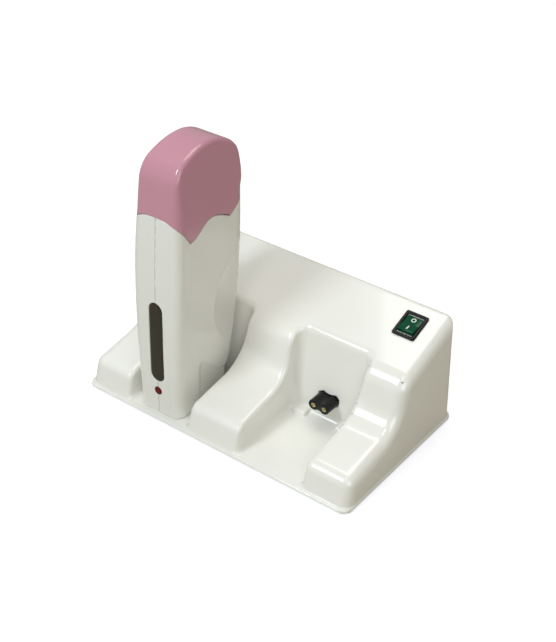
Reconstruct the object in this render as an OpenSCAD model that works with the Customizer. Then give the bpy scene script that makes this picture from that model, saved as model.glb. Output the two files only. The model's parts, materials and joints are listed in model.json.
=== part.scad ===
// Roll on wax heater: a stand with two docking bays, and one heated handpiece with its cartridge and cap.
// Millimetres, +Z up. The origin is on the table, under the centre of the stand's foot.

/* [Stand] */
// Width of the stand's foot
base_w = 266; // [256:1:290]
// Depth of the stand's foot
base_d = 155; // [152:1:170]
// Height of the stand's top plane, extended to its rear edge
base_h = 102.2; // [98:0.2:115]
// Wall of the stand's shell
base_wall = 2.2; // [1.8:0.1:3]
// Height of the flange round the foot
flange_h = 4.2; // [4:0.1:6]
// Ledge in front of the arms
front_ledge = 2.5; // [1.5:0.1:5]
// Ledge beside the outer arms and behind the stand
side_ledge = 1.2; // [0.8:0.1:3]
// Draft of the stand's side walls, degrees
side_draft = 1.3; // [0.5:0.1:3]
// Slope of the top plane, degrees
top_slope = 20; // [15:0.5:25]
// Height of an arm's pad at its front edge
pad_h = 25.2; // [22:0.2:32]
// Slope of the arm's pad, degrees
pad_slope = 10.5; // [7:0.5:13]
// Lean of the arm's front face, degrees from upright
front_lean = 16; // [8:0.5:20]
// Lean of the step behind the pads, degrees from upright
step_lean = 16.4; // [10:0.2:22]
// Distance from the stand's front edge to the head of the step
step_run = 79.5; // [74:0.5:84]

/* [Bays] */
// Distance between the two bays' centres
bay_pitch = 114.4; // [112:0.2:122]
// Width of a bay at its floor
bay_w = 62; // [60:0.5:68]
// Draft of a bay's side walls, degrees
bay_draft = 3; // [1:0.1:4]
// Rise of the bay's floor towards the rear, degrees
floor_slope = 2.7; // [1.5:0.1:3.2]
// Distance from the stand's front edge to the bay's back wall, at the plug's height
back_run = 82.4; // [81.6:0.2:85]
// Lean of the bay's back wall, degrees from upright
back_lean = 10.5; // [8:0.2:12]
// Height of the raised step at the bay's rear, over its floor
hump_h = 4; // [3:0.5:5]
// Depth of that raised step in front of the back wall
hump_run = 12; // [10:0.5:14]
// Width of the notch in the raised step
notch_w = 29; // [29:0.5:33]

/* [Plugs] */
// Distance between a plug's two holes
pin_pitch = 10.2; // [9.6:0.1:11]
// Diameter of each lobe of the plug
plug_lobe = 9.4; // [8.8:0.1:10]
// Height of the plug's axis over the table
plug_z = 25.6; // [23:0.2:27]
// Length of the plug in front of the bay's back wall
plug_reach = 13.6; // [12.4:0.2:14.4]
// Diameter of the contact pins
pin_d = 2.4; // [2:0.1:2.6]
// Length of the contact pins
pin_len = 6; // [4:0.5:6]

/* [Switch] */
// Width of the switch's bezel, across the rocker
bezel_w = 20.4; // [19:0.1:23]
// Length of the switch's bezel, down the slope
bezel_l = 25; // [23:0.1:28]
// Distance from the stand's right edge to the switch's centre
switch_in = 31.3; // [27:0.1:35]
// Distance from the stand's rear edge to the switch's centre
switch_run = 27.8; // [22:0.2:34]
// Travel of the rocker, degrees
rocker_travel = 20; // [14:1:24]

/* [Handpiece] */
// Height of the handpiece's top over the table
hand_h = 238; // [230:0.5:250]
// Largest width of the handpiece
hand_w = 49.6; // [47:0.2:54]
// Front face of the handpiece at its foot, behind the stand's front edge
hand_setback = 5.7; // [5:0.1:9]
// Wall of the handpiece's shells and cap
hand_wall = 2.4; // [2:0.1:3]
// Width of the neck that the inlet sits in
neck_w = 27.4; // [27:0.1:28]
// Width of the waist behind the foot
waist_w = 40; // [36:0.5:43]
// Length of the foot from front to back
foot_run = 27.5; // [24:0.5:32]
// Width of the window
window_w = 13.7; // [10:0.1:16]
// Height of the window's lower end
window_z0 = 36.4; // [34:0.2:39]
// Height of the window's upper end
window_z1 = 110.2; // [95:0.2:115]
// Diameter of the red lamp
lamp_d = 7; // [6:0.2:8]
// Height of the red lamp
lamp_z = 26.4; // [25:0.2:27.6]

/* [Cap] */
// Height of the cap's edge at the middle of the front
cap_front_z = 184; // [180:0.5:190]
// Height of the cap's front corner points
cap_corner_z = 164.8; // [160:0.2:170]
// Height of the cap's edge at the middle of each side
cap_side_z = 175.4; // [171:0.2:180]
// Height of the cap's rear corner points
cap_rear_z = 167.2; // [163:0.2:171]

/* [Cartridge] */
// Length of the wax bottle's outline, front to back
bottle_l = 50; // [46:0.5:52]
// Thickness of the wax bottle
bottle_w = 30; // [27:0.5:32]
// Height of the wax bottle
bottle_h = 98; // [90:1:102]
// Height of the bottle's foot over the table
bottle_z = 66; // [62:0.5:70]
// Diameter of the roller
roller_d = 14; // [12:0.5:16]
// Length of the roller
roller_l = 38; // [34:0.5:40]

/* [Clearances] */
// Gap between pieces that slip into each other
slip = 0.3; // [0.2:0.05:0.5]
// Gap round a running shaft
shaft_gap = 0.05; // [0.03:0.01:0.08]
// Height of the rubber feet under the shell
foot_lift = 1; // [0.6:0.1:2]

/* [Hidden] */
$fn = 48;

// ---- Rounded combinations of distances: negative inside, positive outside ----
function rmax(a, b, r) = min(-r, max(a, b)) + norm([max(a + r, 0), max(b + r, 0)]);
function rmin(a, b, r) = -rmax(-a, -b, r);
// Distance above a line in the YZ plane, through (y0, z0) and rising at ang towards the rear
function above(y, z, y0, z0, ang) = (z - z0) * cos(ang) - (y - y0) * sin(ang);

// ---- Stand: its outer surface as a distance ----
front_y = -base_d / 2;
rear_y = base_d / 2;
arm_y = front_y + front_ledge;
bay_x = bay_pitch / 2;
edge_r = 5;
outer_r = 10;
rim_r = 4;
corner_r = 8;
fillet_r = 4.5;
blend_r = 15;
brow_r = 9;
back_y = front_y + back_run;
step_y = front_y + step_run;
hump_y = back_y - hump_run;
function top_z(y) = base_h + (y - rear_y) * tan(top_slope);
function pad_z(y) = pad_h + (y - arm_y) * tan(pad_slope);
function floor_z(y) = flange_h + (y - arm_y) * tan(floor_slope);
function back_wall_y(z) = back_y + (z - plug_z) * tan(back_lean);

function arm_profile(y, z) = rmax(above(y, z, arm_y, flange_h, 90 - front_lean),
    rmin(above(y, z, arm_y, pad_h, pad_slope),
        rmax(above(y, z, step_y, top_z(step_y), 90 - step_lean),
            above(y, z, rear_y, base_h, top_slope), brow_r),
        blend_r), edge_r + 1);
function envelope(x, y, z) = rmax(
    rmax(arm_profile(y, z), -above(y, z, rear_y - side_ledge, flange_h, 90 + side_draft), edge_r),
    (abs(x) - base_w / 2 + side_ledge) * cos(side_draft) + (z - flange_h) * sin(side_draft), outer_r);
function bay_space(x, y, z) = rmax(
    rmax((abs(abs(x) - bay_x) - bay_w / 2) * cos(bay_draft) - (z - flange_h) * sin(bay_draft),
        (y - back_y) * cos(back_lean) - (z - plug_z) * sin(back_lean), corner_r),
    -above(y, z, arm_y, flange_h, floor_slope), fillet_r);
function hump(x, y, z) = let (across = abs(abs(x) - bay_x)) rmax(
    rmax(above(y, z, hump_y, floor_z(hump_y) + hump_h, floor_slope), hump_y - y, 2.5),
    max(notch_w / 2 - across, across - bay_w / 2 - 6, y - back_y - 20), 2);
function flange(x, y, z) =
    rmax(rmax(abs(x) - base_w / 2, abs(y) - base_d / 2, outer_r - 1), z - flange_h, 1.5);
function stand(x, y, z) = rmin(rmin(rmax(envelope(x, y, z), -bay_space(x, y, z), rim_r), hump(x, y, z), 1.5),
    flange(x, y, z), 0.8);

// Highest point of the stand's solid, drawn in by t, over a place in plan
function stand_top(x, y, t, lo = -9, hi = 130, n = 15) = n == 0 ? lo :
    let (mid = (lo + hi) / 2) stand(x, y, mid) <= -t ? stand_top(x, y, t, mid, hi, n - 1)
    : stand_top(x, y, t, lo, mid, n - 1);

// Grid lines, closer together at walls and edges
function mirrored(v) = [for (i = [len(v) - 1 : -1 : 0]) if (v[i] > 0) -v[i], for (e = v) e];
function wall_lines(c, s, fine) = fine ? [for (d = [-6, -2.6, -0.8, 0.4, 1.3, 2.4, 4, 7]) c + s * d]
    : [for (d = [-5, -2, 0.4, 2.4, 5]) c + s * d];
function x_lines(t, fine) = let (w = base_w / 2 - t, a = bay_x - bay_w / 2 - t, b = bay_x + bay_w / 2 + t,
    inner = wall_lines(a, -1, fine), outer = wall_lines(b, 1, fine), notch = notch_w / 2,
    near = [for (d = [-notch - 1.5, -notch + 0.7, notch - 0.7, notch + 1.5]) bay_x + d],
    edge = [for (d = fine ? [18, 11.6, 9.2, 7.2, 5.6, 4.4, 3.4, 2.6, 1.9, 1.25, 0.5, 0, -0.02]
        : [14, 8, 5, 3, 1.4, 0, -0.02]) w - d])
    mirrored([0, for (i = [len(inner) - 1 : -1 : 0]) inner[i], each near, each outer, each edge]);
function y_lines(t, fine) = let (f = front_y + t, r = rear_y - t, s = step_y)
    [f - 0.02, f, for (d = fine ? [0.6, 2, 2.8, 4.5, 6.5, 9, 12, 16, 36] : [2.7, 6, 9, 13, 30]) f + d,
    for (d = fine ? [-20, -17, -15.6, -14.6, -11.5, -8.5, -6.3, -4.5, -2.6, -0.8, 1.4, 4] :
        [-21, -15, -10, -6, -2, 2]) s + d,
    for (d = fine ? [6.8, 8.6, 10.4, 12.6, 16, 21] : [7, 10, 13, 20]) s + d,
    for (d = fine ? [30, 10, 5.6, 3.6, 2.3, 1.4, 0.6, 0, -0.02] : [26, 7, 2.4, 0, -0.02]) r - d];

// Solid under a height field over the grid, down to a flat bottom
module field(xs, ys, t, bottom) {
    nx = len(xs);
    ny = len(ys);
    function at(j, i) = j * nx + i;
    top = [for (y = ys) for (x = xs) [x, y, stand_top(x, y, t)]];
    low = [for (y = ys) for (x = xs) [x, y, bottom]];
    n = nx * ny;
    rim = [for (i = [0 : nx - 1]) at(0, i), for (j = [1 : ny - 1]) at(j, nx - 1),
        for (i = [nx - 2 : -1 : 0]) at(ny - 1, i), for (j = [ny - 2 : -1 : 1]) at(j, 0)];
    m = len(rim);
    polyhedron(concat(top, low), concat(
        [for (j = [0 : ny - 2]) for (i = [0 : nx - 2]) each [[at(j, i), at(j + 1, i), at(j + 1, i + 1)],
            [at(j, i), at(j + 1, i + 1), at(j, i + 1)]]],
        [for (k = [0 : m - 1]) [rim[k], rim[(k + 1) % m], n + rim[(k + 1) % m], n + rim[k]]],
        [[for (k = rim) n + k]]));
}

// ---- Handpiece: its outer surface as a distance, x from its own middle ----
hand_y = front_y + hand_setback;
heel_y = hand_y + foot_run;
crown_y = hand_y + 36.5;
crown_z = hand_h - 2.5;
function hand_half(z) = let (u = (z - 130) / 125) hand_w / 2 - (u < 0 ? 3.3 : 11.4) * u * u;
function hand_front(z) = hand_y + 9.3 * pow(max(z, 0) / 210, 2.8);
function hand_rear(z) = hand_y + 91.3 - 15.5 * pow(max(210 - z, 0) / 175, 2.2);
// Front face, front slope, crown, rear slope and rear face, each rounded into the next
function hand_profile(y, z) = rmax(rmax(rmax(rmax(hand_front(z) - y,
    above(y, z, crown_y - 15.7, hand_h - 9, 36.3), 9),
    z - crown_z, 11.3),
    above(y, z, crown_y + 38.1, hand_h + 1, -60), 22.4),
    y - hand_rear(z), 16.4);
// Radius between the sides and the profile: small in front and on top, large at the rear
function side_r(y, z) = let (k = min(1, max(0, (y - heel_y) / 40)), top = min(1, max(0, (z - 185) / 35)))
    (8.5 + 8.5 * k) * (1 - top) + 4 * top;
// What is left below the heel: the foot at the front, the waist, the narrow neck and the heel over the dock
heel_h = 47.6;
heel_fall = 38.7;
neck_h = 27;
grip_run = 35.8;
grip_h = 31.4;
grip_rise = 58;
function heel(y, z) = rmax(rmax(-above(y, z, heel_y, heel_h, -heel_fall), neck_h - z, 5),
    -above(y, z, heel_y + grip_run, grip_h, grip_rise), 5);
waist_y = back_y - hump_run - 3;
function waist(x, y) = rmax(abs(x) - waist_w / 2, y - waist_y, 4);
function lower(x, y, z) = rmin(rmin(rmin(heel(y, z), y - heel_y, 4), waist(x, y), 3), abs(x) - neck_w / 2, 3);
// Grip hollows at the rear of each side
function hollow(x, y, z) = 14 * (norm([(abs(x) - hand_w / 2 - 9.4) / 14, (y - hand_y - 85) / 54,
    (z - 84.5) / 62]) - 1);
function hand(x, y, z) = rmax(rmax(rmax(hand_profile(y, z), abs(x) - hand_half(z), side_r(y, z)),
    lower(x, y, z), 2.5), -hollow(x, y, z), 2);

// Middle of the ring at height z, from which every part of its outline can be seen
function ring_y(z) = hand_y + 20 + 24 * min(1, max(0, (z - 45) / 155));
function ring_r(dir, cy, z, t, lo = 0, hi = 110, n = 15) = n == 0 ? lo :
    let (mid = (lo + hi) / 2) hand(dir[0] * mid, cy + dir[1] * mid, z) <= -t ?
    ring_r(dir, cy, z, t, mid, hi, n - 1) : ring_r(dir, cy, z, t, lo, mid, n - 1);
// Directions for one half of a ring, aimed at points of a plain outline, front to rear
function aims(z, fine) = let (w = hand_half(z), f = hand_front(z), r = hand_rear(z),
    k = fine ? 5 : 3, m = fine ? 11 : 7)
    [for (i = [1 : k - 2]) [w * 0.68 * i / (k - 1), f],
    for (i = [0 : k]) [w - 8 + 8 * sin(90 * i / k), f + 8 - 8 * cos(90 * i / k)],
    for (i = [1 : m]) [w, f + 8 + (r - f - 25) * i / m],
    for (i = [1 : k + 1]) [w - 17 + 17 * cos(90 * i / (k + 2)), r - 17 + 17 * sin(90 * i / (k + 2))]];
function full_aims(z, fine) = let (a = aims(z, fine), n = len(a))
    [[0, hand_front(z)], each a, [0, hand_rear(z)], for (i = [n - 1 : -1 : 0]) [-a[i][0], a[i][1]]];
function ring(z, t, fine) = let (cy = ring_y(z)) [for (a = full_aims(z, fine))
    let (v = [a[0], a[1] - cy], d = v / norm(v), r = ring_r(d, cy, z, t)) [d[0] * r, cy + d[1] * r, z]];
// Heights of the rings, closer together at the heel and the crown
function levels(t, fine) = concat(
    fine ? [-2, 12, 24, 28, 31, 35, 39, 43, 47, 52, 58, each [68 : 12 : 116], 124, 131, 138, each [150 : 10 : 180]]
        : [-2, 22, 29, 36, 43, 50, 62, each [80 : 18 : 116], 130, 145, 165, 180],
    [for (e = fine ? [45, 37, 30, 24, 19, 15, 11.5, 8.5, 5.8, 3.6, 1.8, 0.6] : [43, 32, 23, 15, 9, 4.5, 1.5])
        crown_z - e - t]);
// Solid inside the handpiece's outer surface, drawn in by t, between two heights
module hand_solid(t, fine, z0 = -10, z1 = 300) {
    zs = [for (z = levels(t, fine)) if (z > z0 && z < z1) z];
    rings = [for (z = zs) ring(z, t, fine)];
    n = len(rings[0]);
    m = len(zs);
    top = z1 > hand_h ? crown_z - t : zs[m - 1];
    ends = [[0, ring_y(zs[0]), zs[0]], [0, ring_y(zs[m - 1]), top]];
    polyhedron([for (r = rings) each r, each ends], [
        for (j = [0 : m - 2]) for (i = [0 : n - 1]) let (a = j * n + i, b = j * n + (i + 1) % n)
            each [[a, b + n, b], [a, a + n, b + n]],
        for (i = [0 : n - 1]) [m * n, i, (i + 1) % n],
        for (i = [0 : n - 1]) [m * n + 1, (m - 1) * n + (i + 1) % n, (m - 1) * n + i]]);
}

// Edge between the cap and the shells: three scallops on each half, from front to rear
function scallop(u) = u < 0.27 ? cap_front_z - (cap_front_z - cap_corner_z) * pow(u / 0.27, 3)
    : u < 0.5 ? let (c = (1 + cos(180 * (0.5 - u) / 0.23)) / 2) cap_corner_z + (cap_side_z - cap_corner_z) * c
    : u < 0.69 ? cap_side_z - (cap_side_z - cap_rear_z) * pow((u - 0.5) / 0.19, 1.5)
    : cap_rear_z + (cap_front_z - 3 - cap_rear_z) * (1 - pow((1 - u) / 0.31, 1.8));
function run_lengths(p, i = 0, s = 0) = i == len(p) - 1 ? [s] :
    [s, each run_lengths(p, i + 1, s + norm(p[i + 1] - p[i]))];
// Everything under the cap's edge, raised by lift
module below_cap(lift) {
    z0 = 170;
    cy = ring_y(z0);
    half = [[0, hand_front(z0)], each aims(z0, true), [0, hand_rear(z0)]];
    s = run_lengths(half);
    total = s[len(s) - 1];
    n = len(half);
    edge = [for (i = [0 : n - 1]) [half[i][0], half[i][1], scallop(s[i] / total) + lift],
        for (i = [n - 2 : -1 : 1]) [-half[i][0], half[i][1], scallop(s[i] / total) + lift]];
    m = len(edge);
    out = [for (e = edge) [e[0] * 1.5, cy + (e[1] - cy) * 1.5, e[2]]];
    mid = [for (e = edge) [e[0] * 0.5, cy + (e[1] - cy) * 0.5, e[2]]];
    low = [for (e = edge) [e[0] * 1.5, cy + (e[1] - cy) * 1.5, -20]];
    polyhedron(concat(out, mid, low, [[0, cy, cap_side_z], [0, cy, -20]]), [
        for (i = [0 : m - 1]) let (j = (i + 1) % m) each [[i, m + i, m + j], [i, m + j, j],
            [m + i, 3 * m, m + j], [i, j, 2 * m + j], [i, 2 * m + j, 2 * m + i],
            [2 * m + i, 2 * m + j, 3 * m + 1]]]);
}

module at_hand() { translate([-bay_x, 0, 0]) children(); }
module along_y(y0, y1, r, x = 0, z = 0) {
    translate([x, y0, z]) rotate([-90, 0, 0]) cylinder(r = r, h = y1 - y0);
}
module along_x(x0, x1, r, y = 0, z = 0) {
    translate([x0, y, z]) rotate([0, 90, 0]) cylinder(r = r, h = x1 - x0);
}
module box(a, b) { translate(a) cube([b[0] - a[0], b[1] - a[1], b[2] - a[2]]); }

// ---- Stand ----
boss_r = 4;
screw_r = 1.4;
plate_t = 1;
plate_top = foot_lift + plate_t;
boss_xs = [-1, 0, 1];
outer_x = (base_w / 2 + bay_x + bay_w / 2) / 2;
front_boss_y = front_y + 28;
rear_boss_y = rear_y - 12;
function boss_places() = [for (y = [front_boss_y, rear_boss_y]) for (s = boss_xs) [s * outer_x, y]];
gusset_h = 14;

module boss(p) {
    tall = p[1] < 0 ? pad_z(p[1]) - base_wall / 2 : gusset_h + 8;
    wall_y = rear_y - side_ledge - base_wall / 2;
    translate([p[0], p[1], plate_top]) cylinder(r = boss_r, h = tall - plate_top);
    if (p[1] > 0) hull() {
        translate([p[0] - 1, p[1], plate_top]) cube([2, 1, gusset_h + 6]);
        translate([p[0] - 1, wall_y - 1, plate_top]) cube([2, 1, gusset_h]);
    }
    for (s = [-1, 1]) hull() {
        translate([p[0] + s * boss_r - 0.8, p[1] - 0.8, tall - 2]) cube([1.6, 1.6, 1]);
        translate([p[0] + s * (boss_r - 1) - 0.8, p[1] - 0.8, plate_top + 4]) cube([1.6, 1.6, 1]);
    }
}
// Depth of the dips between the plug's lobes, below and above
plug_notch = 1.6;
plug_groove = 1.2;
module figure8(grow, y0, y1, x, z = plug_z) {
    for (s = [-1, 1]) along_y(y0, y1, plug_lobe / 2 + grow, x + s * pin_pitch / 2, z);
    box([x - pin_pitch / 2, y0, z - plug_lobe / 2 + plug_notch - grow],
        [x + pin_pitch / 2, y1, z + plug_lobe / 2 - plug_groove + grow]);
}
switch_x = base_w / 2 - switch_in;
switch_y = rear_y - switch_run;
module at_switch() { translate([switch_x, switch_y, top_z(switch_y)]) rotate([top_slope, 0, 0]) children(); }
body_w = bezel_w - 3;
body_l = bezel_l - 3;
body_h = 15;
inlet_x = 40;
inlet_z = 26;
inlet_w = 24;
inlet_tall = 17;

module base_shell() {
    color([0.93, 0.92, 0.88]) difference() {
        union() {
            difference() {
                field(x_lines(0, true), y_lines(0, true), 0, -9);
                field(x_lines(base_wall, false), y_lines(base_wall, false), base_wall, -10);
            }
            for (p = boss_places()) boss(p);
        }
        box([-base_w, -base_d, -30], [base_w, base_d, foot_lift]);
        for (p = boss_places()) translate([p[0], p[1], 0])
            cylinder(r = screw_r, h = plate_top + 11, $fn = 16);
        at_switch() box([-body_w / 2 - slip, -body_l / 2 - slip, -20],
            [body_w / 2 + slip, body_l / 2 + slip, 10]);
        for (s = [-1, 1]) figure8(slip, hump_y, back_y + 25, s * bay_x);
        box([inlet_x - inlet_w / 2 - slip, rear_y - 15, inlet_z - inlet_tall / 2 - slip],
            [inlet_x + inlet_w / 2 + slip, rear_y + 5, inlet_z + inlet_tall / 2 + slip]);
    }
}

module base_plate() {
    inset = base_wall + slip;
    color([0.75, 0.76, 0.77]) difference() {
        slab(foot_lift + 0.05, plate_top - 0.02)
            rounded(base_w - 2 * inset, base_d - 2 * inset, outer_r + 2);
        for (p = boss_places()) translate([p[0], p[1], 0]) cylinder(r = screw_r + 0.4, h = 9);
    }
}
module base_screws() {
    color([0.7, 0.7, 0.72]) for (p = boss_places()) translate([p[0], p[1], 0]) {
        translate([0, 0, 0.25]) cylinder(r = 2.8, h = foot_lift - 0.2);
        translate([0, 0, 0.25]) cylinder(r = screw_r - 0.05, h = plate_top + 9);
    }
}
foot_r = 6;
module rubber_feet() {
    color([0.12, 0.12, 0.12]) for (sx = [-1, 1]) for (y = [front_y + 14, rear_y - 26])
        translate([sx * outer_x, y, 0]) cylinder(r = foot_r, h = foot_lift + 0.05);
}

// Rounded rectangle, and a stadium lying along Y
module rounded(w, l, r) {
    square([w - 2 * r, l], center = true);
    square([w, l - 2 * r], center = true);
    for (sx = [-1, 1]) for (sy = [-1, 1]) translate([sx * (w / 2 - r), sy * (l / 2 - r)]) circle(r = r);
}
module stadium(l, w) {
    square([w, l - w], center = true);
    for (s = [-1, 1]) translate([0, s * (l - w) / 2]) circle(r = w / 2);
}
module slab(z0, z1) { translate([0, 0, z0]) linear_extrude(z1 - z0) children(); }
// Points of a wire from a to d, which leaves towards b and arrives from c
function curve(a, b, c, d, n = 10) = [for (i = [0 : n]) let (t = i / n, s = 1 - t)
    s * s * s * a + 3 * s * s * t * b + 3 * s * t * t * c + t * t * t * d];
function heading(pts, i) = let (v = pts[min(i + 1, len(pts) - 1)] - pts[max(i - 1, 0)]) v / norm(v);
// A sideways direction at each point of a wire, turning as little as it can
function sideways(pts, last, i = 0) = i == len(pts) ? [] :
    let (d = heading(pts, i), u = last - (last * d) * d, v = u / norm(u)) [v, each sideways(pts, v, i + 1)];
// Wire with eight sides along a list of points
module wire(pts, r) {
    sides = 8;
    n = len(pts);
    across = sideways(pts, [0.9, 0.3, 0.2]);
    rings = [for (i = [0 : n - 1]) for (j = [0 : sides - 1]) let (a = 360 * j / sides, u = across[i])
        pts[i] + r * (cos(a) * u + sin(a) * cross(heading(pts, i), u))];
    polyhedron(rings, [
        [for (j = [sides - 1 : -1 : 0]) j],
        for (i = [0 : n - 2]) for (j = [0 : sides - 1])
            let (a = i * sides + j, b = i * sides + (j + 1) % sides)
            each [[a, b, b + sides], [a, b + sides, a + sides]],
        [for (j = [0 : sides - 1]) (n - 1) * sides + j]]);
}

// ---- Switch ----
bezel_t = 2;
housing_wall = 1.2;
pivot_z = -2.5;
axle_r = 1.2;
hole_w = body_w - 2 * housing_wall;
hole_l = body_l - 2 * housing_wall;
rocker_w = hole_w - 2 * slip;
rocker_half = hole_l / 2 - 1.1;
rocker_rise = 4.6;
module switch_bezel() {
    color([0.08, 0.08, 0.08]) at_switch() difference() {
        union() {
            slab(0.03, bezel_t) rounded(bezel_w, bezel_l, 1.5);
            box([-body_w / 2, -body_l / 2, -body_h], [body_w / 2, body_l / 2, 0.1]);
        }
        box([-hole_w / 2, -hole_l / 2, pivot_z - 7], [hole_w / 2, hole_l / 2, bezel_t + 1]);
        along_x(-body_w / 2 - 1, body_w / 2 + 1, axle_r + shaft_gap, 0, pivot_z);
    }
}
module switch_rocker() {
    dip = rocker_half * tan(rocker_travel / 2);
    color([0.03, 0.22, 0.12]) at_switch() translate([0, 0, pivot_z]) rotate([-rocker_travel / 2, 0, 0]) {
        translate([-rocker_w / 2, 0, 0]) rotate([90, 0, 90]) linear_extrude(rocker_w) polygon([
            [-rocker_half, -2], [-3, -5], [3, -5], [rocker_half, -2],
            [rocker_half, rocker_rise + dip - 1.5], [0, rocker_rise - 0.6],
            [-rocker_half, rocker_rise + dip - 1.5]]);
        along_x(-body_w / 2 + 0.1, body_w / 2 - 0.1, axle_r);
    }
}
spade_h = 8;
// Height of the lower end of the rear spades
switch_tail_z = top_z(switch_y) + 5.5 * sin(top_slope) - (body_h + spade_h + 0.2) * cos(top_slope);
module switch_terminals() {
    color([0.8, 0.8, 0.78]) at_switch() for (sx = [-1, 1]) for (sy = [-1, 1])
        translate([sx * 5 - 0.4, sy * 5.5 - 2.4, -body_h - spade_h - 0.02]) cube([0.8, 4.8, spade_h]);
}

// ---- Docking plugs ----
plug_y = back_y - plug_reach;
plug_end = back_y + 16;
sleeve_r = pin_d / 2 + shaft_gap + 0.6;
bore_len = 11;
clamp_t = 1.5;
clamp_w = 26;
module dock_plug(x) {
    color([0.06, 0.06, 0.06]) difference() {
        union() {
            figure8(0, plug_y, plug_end, x);
            box([x - clamp_w / 2, plug_end - 4, plug_z - 8], [x + clamp_w / 2, plug_end, plug_z + 8]);
        }
        for (s = [-1, 1]) along_y(plug_y - 1, plug_end + 1, sleeve_r + 0.02, x + s * pin_pitch / 2, plug_z);
    }
}
module left_dock_plug() { dock_plug(-bay_x); }
module right_dock_plug() { dock_plug(bay_x); }
module dock_contacts(x) {
    color([0.8, 0.65, 0.3]) for (s = [-1, 1]) difference() {
        along_y(plug_y + 0.3, plug_end + 3, sleeve_r, x + s * pin_pitch / 2, plug_z);
        along_y(plug_y - 1, plug_y + 0.3 + bore_len, pin_d / 2 + shaft_gap, x + s * pin_pitch / 2, plug_z);
    }
}
module left_dock_contacts() { dock_contacts(-bay_x); }
module right_dock_contacts() { dock_contacts(bay_x); }
clamp_run = 14;
module dock_clamps() {
    color([0.72, 0.73, 0.74]) for (s = [-1, 1]) translate([s * bay_x, plug_end + 0.02, 0]) difference() {
        union() {
            box([-clamp_w / 2, 0, plate_top + 0.02], [clamp_w / 2, clamp_t, plug_z + 8]);
            box([-clamp_w / 2, 0, plate_top + 0.02], [clamp_w / 2, clamp_run, plate_top + clamp_t]);
        }
        for (k = [-1, 1]) along_y(-1, clamp_t + 1, sleeve_r + 1, k * pin_pitch / 2, plug_z);
        for (k = [-1, 1]) translate([k * 8, clamp_run - 5, 0]) cylinder(r = screw_r + 0.2, h = 9);
    }
}
module clamp_screws() {
    color([0.7, 0.7, 0.72]) for (s = [-1, 1]) for (k = [-1, 1])
        translate([s * bay_x + k * 8, plug_end + 0.02 + clamp_run - 5, 0]) {
            translate([0, 0, plate_top + clamp_t + 0.02]) cylinder(r = 2.6, h = 1.8);
            translate([0, 0, plate_top + 0.02]) cylinder(r = screw_r, h = clamp_t + 1);
        }
}

// ---- Mains inlet: a two-pin appliance inlet in the rear wall ----
mains_pitch = 8.6;
mains_pin_r = 1.18;
tail_r = 1;
inlet_face = rear_y - 0.2;
inlet_back = rear_y - 17;
socket_deep = 12;
module mains_inlet() {
    color([0.07, 0.07, 0.07]) difference() {
        union() {
            box([inlet_x - inlet_w / 2, inlet_back, inlet_z - inlet_tall / 2],
                [inlet_x + inlet_w / 2, inlet_face, inlet_z + inlet_tall / 2]);
            box([inlet_x - inlet_w / 2 - 2.5, inlet_face - 1.1, inlet_z - inlet_tall / 2 - 2],
                [inlet_x + inlet_w / 2 + 2.5, inlet_face, inlet_z + inlet_tall / 2 + 2]);
        }
        box([inlet_x - mains_pitch / 2, inlet_face - socket_deep, inlet_z - 3.4],
            [inlet_x + mains_pitch / 2, rear_y + 1, inlet_z + 3.4]);
        for (x = [inlet_x - mains_pitch / 2, inlet_x + mains_pitch / 2]) {
            along_y(inlet_face - socket_deep, rear_y + 1, 4.3, x, inlet_z);
            along_y(inlet_back - 1, rear_y, tail_r + 0.02, x, inlet_z);
        }
    }
}
module mains_pins() {
    floor_y = inlet_face - socket_deep;
    color([0.85, 0.85, 0.83]) for (s = [-1, 1]) {
        along_y(floor_y + 0.02, inlet_face - 2, mains_pin_r, inlet_x + s * mains_pitch / 2, inlet_z);
        along_y(inlet_back - 5, floor_y + 1, tail_r, inlet_x + s * mains_pitch / 2, inlet_z);
    }
}
block_x = 14;
block_y = 46;
block_w = 32;
block_l = 16;
block_h = 11;
block_pitch = 8;
block_floor = 5;
module terminal_block() {
    color([0.9, 0.9, 0.86]) difference() {
        box([block_x - block_w / 2, block_y - block_l / 2, plate_top + 0.02],
            [block_x + block_w / 2, block_y + block_l / 2, plate_top + block_h]);
        for (i = [-1.5 : 1.5]) translate([block_x + i * block_pitch, block_y, plate_top + block_floor])
            cylinder(r = 2, h = block_h);
    }
}
wire_r = 1.1;
wire_gap = 0.3;
wire_drop = 46;
// Wire from a start, first going towards lead, down to hole i of the terminal block
module block_wire(start, lead, i) {
    hole = [block_x + i * block_pitch, block_y, plate_top + block_floor + wire_gap];
    wire(curve(start, start + lead, hole + [0, 0, wire_drop], hole), wire_r);
}
module base_wires() {
    tail_y = switch_y + 5.5 * cos(top_slope) + (body_h + spade_h + 0.2) * sin(top_slope);
    color([0.55, 0.2, 0.15]) {
        block_wire([inlet_x - mains_pitch / 2, inlet_back - 5 - wire_gap, inlet_z], [0, -12, 0], 1.5);
        block_wire([switch_x - 5, tail_y, switch_tail_z], [-4, 8, -30], 0.5);
        block_wire([bay_x - pin_pitch / 2, plug_end + 3 + wire_gap, plug_z], [0, 14, 0], -0.5);
        block_wire([-bay_x + pin_pitch / 2, plug_end + 3 + wire_gap, plug_z], [0, 14, 0], -1.5);
    }
}

// ---- Handpiece ----
hand_lean = 3.5;
bottle_y = hand_y + 40;
sleeve_t = 1.5;
sleeve_l = bottle_l + 2 * slip + 2 * sleeve_t;
sleeve_w = bottle_w + 2 * slip + 2 * sleeve_t;
sleeve_h = 84;
module at_bottle() { at_hand() translate([0, bottle_y, bottle_z]) rotate([-hand_lean, 0, 0]) children(); }
window_tilt = atan((hand_front(window_z1) - hand_front(window_z0)) / (window_z1 - window_z0));
// Frame on the front face: x across, y into the shell, z up from the window's lower end
module at_window() {
    translate([0, hand_front(window_z0), window_z0]) rotate([-window_tilt, 0, 0]) children();
}
window_h = window_z1 - window_z0;
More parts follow.
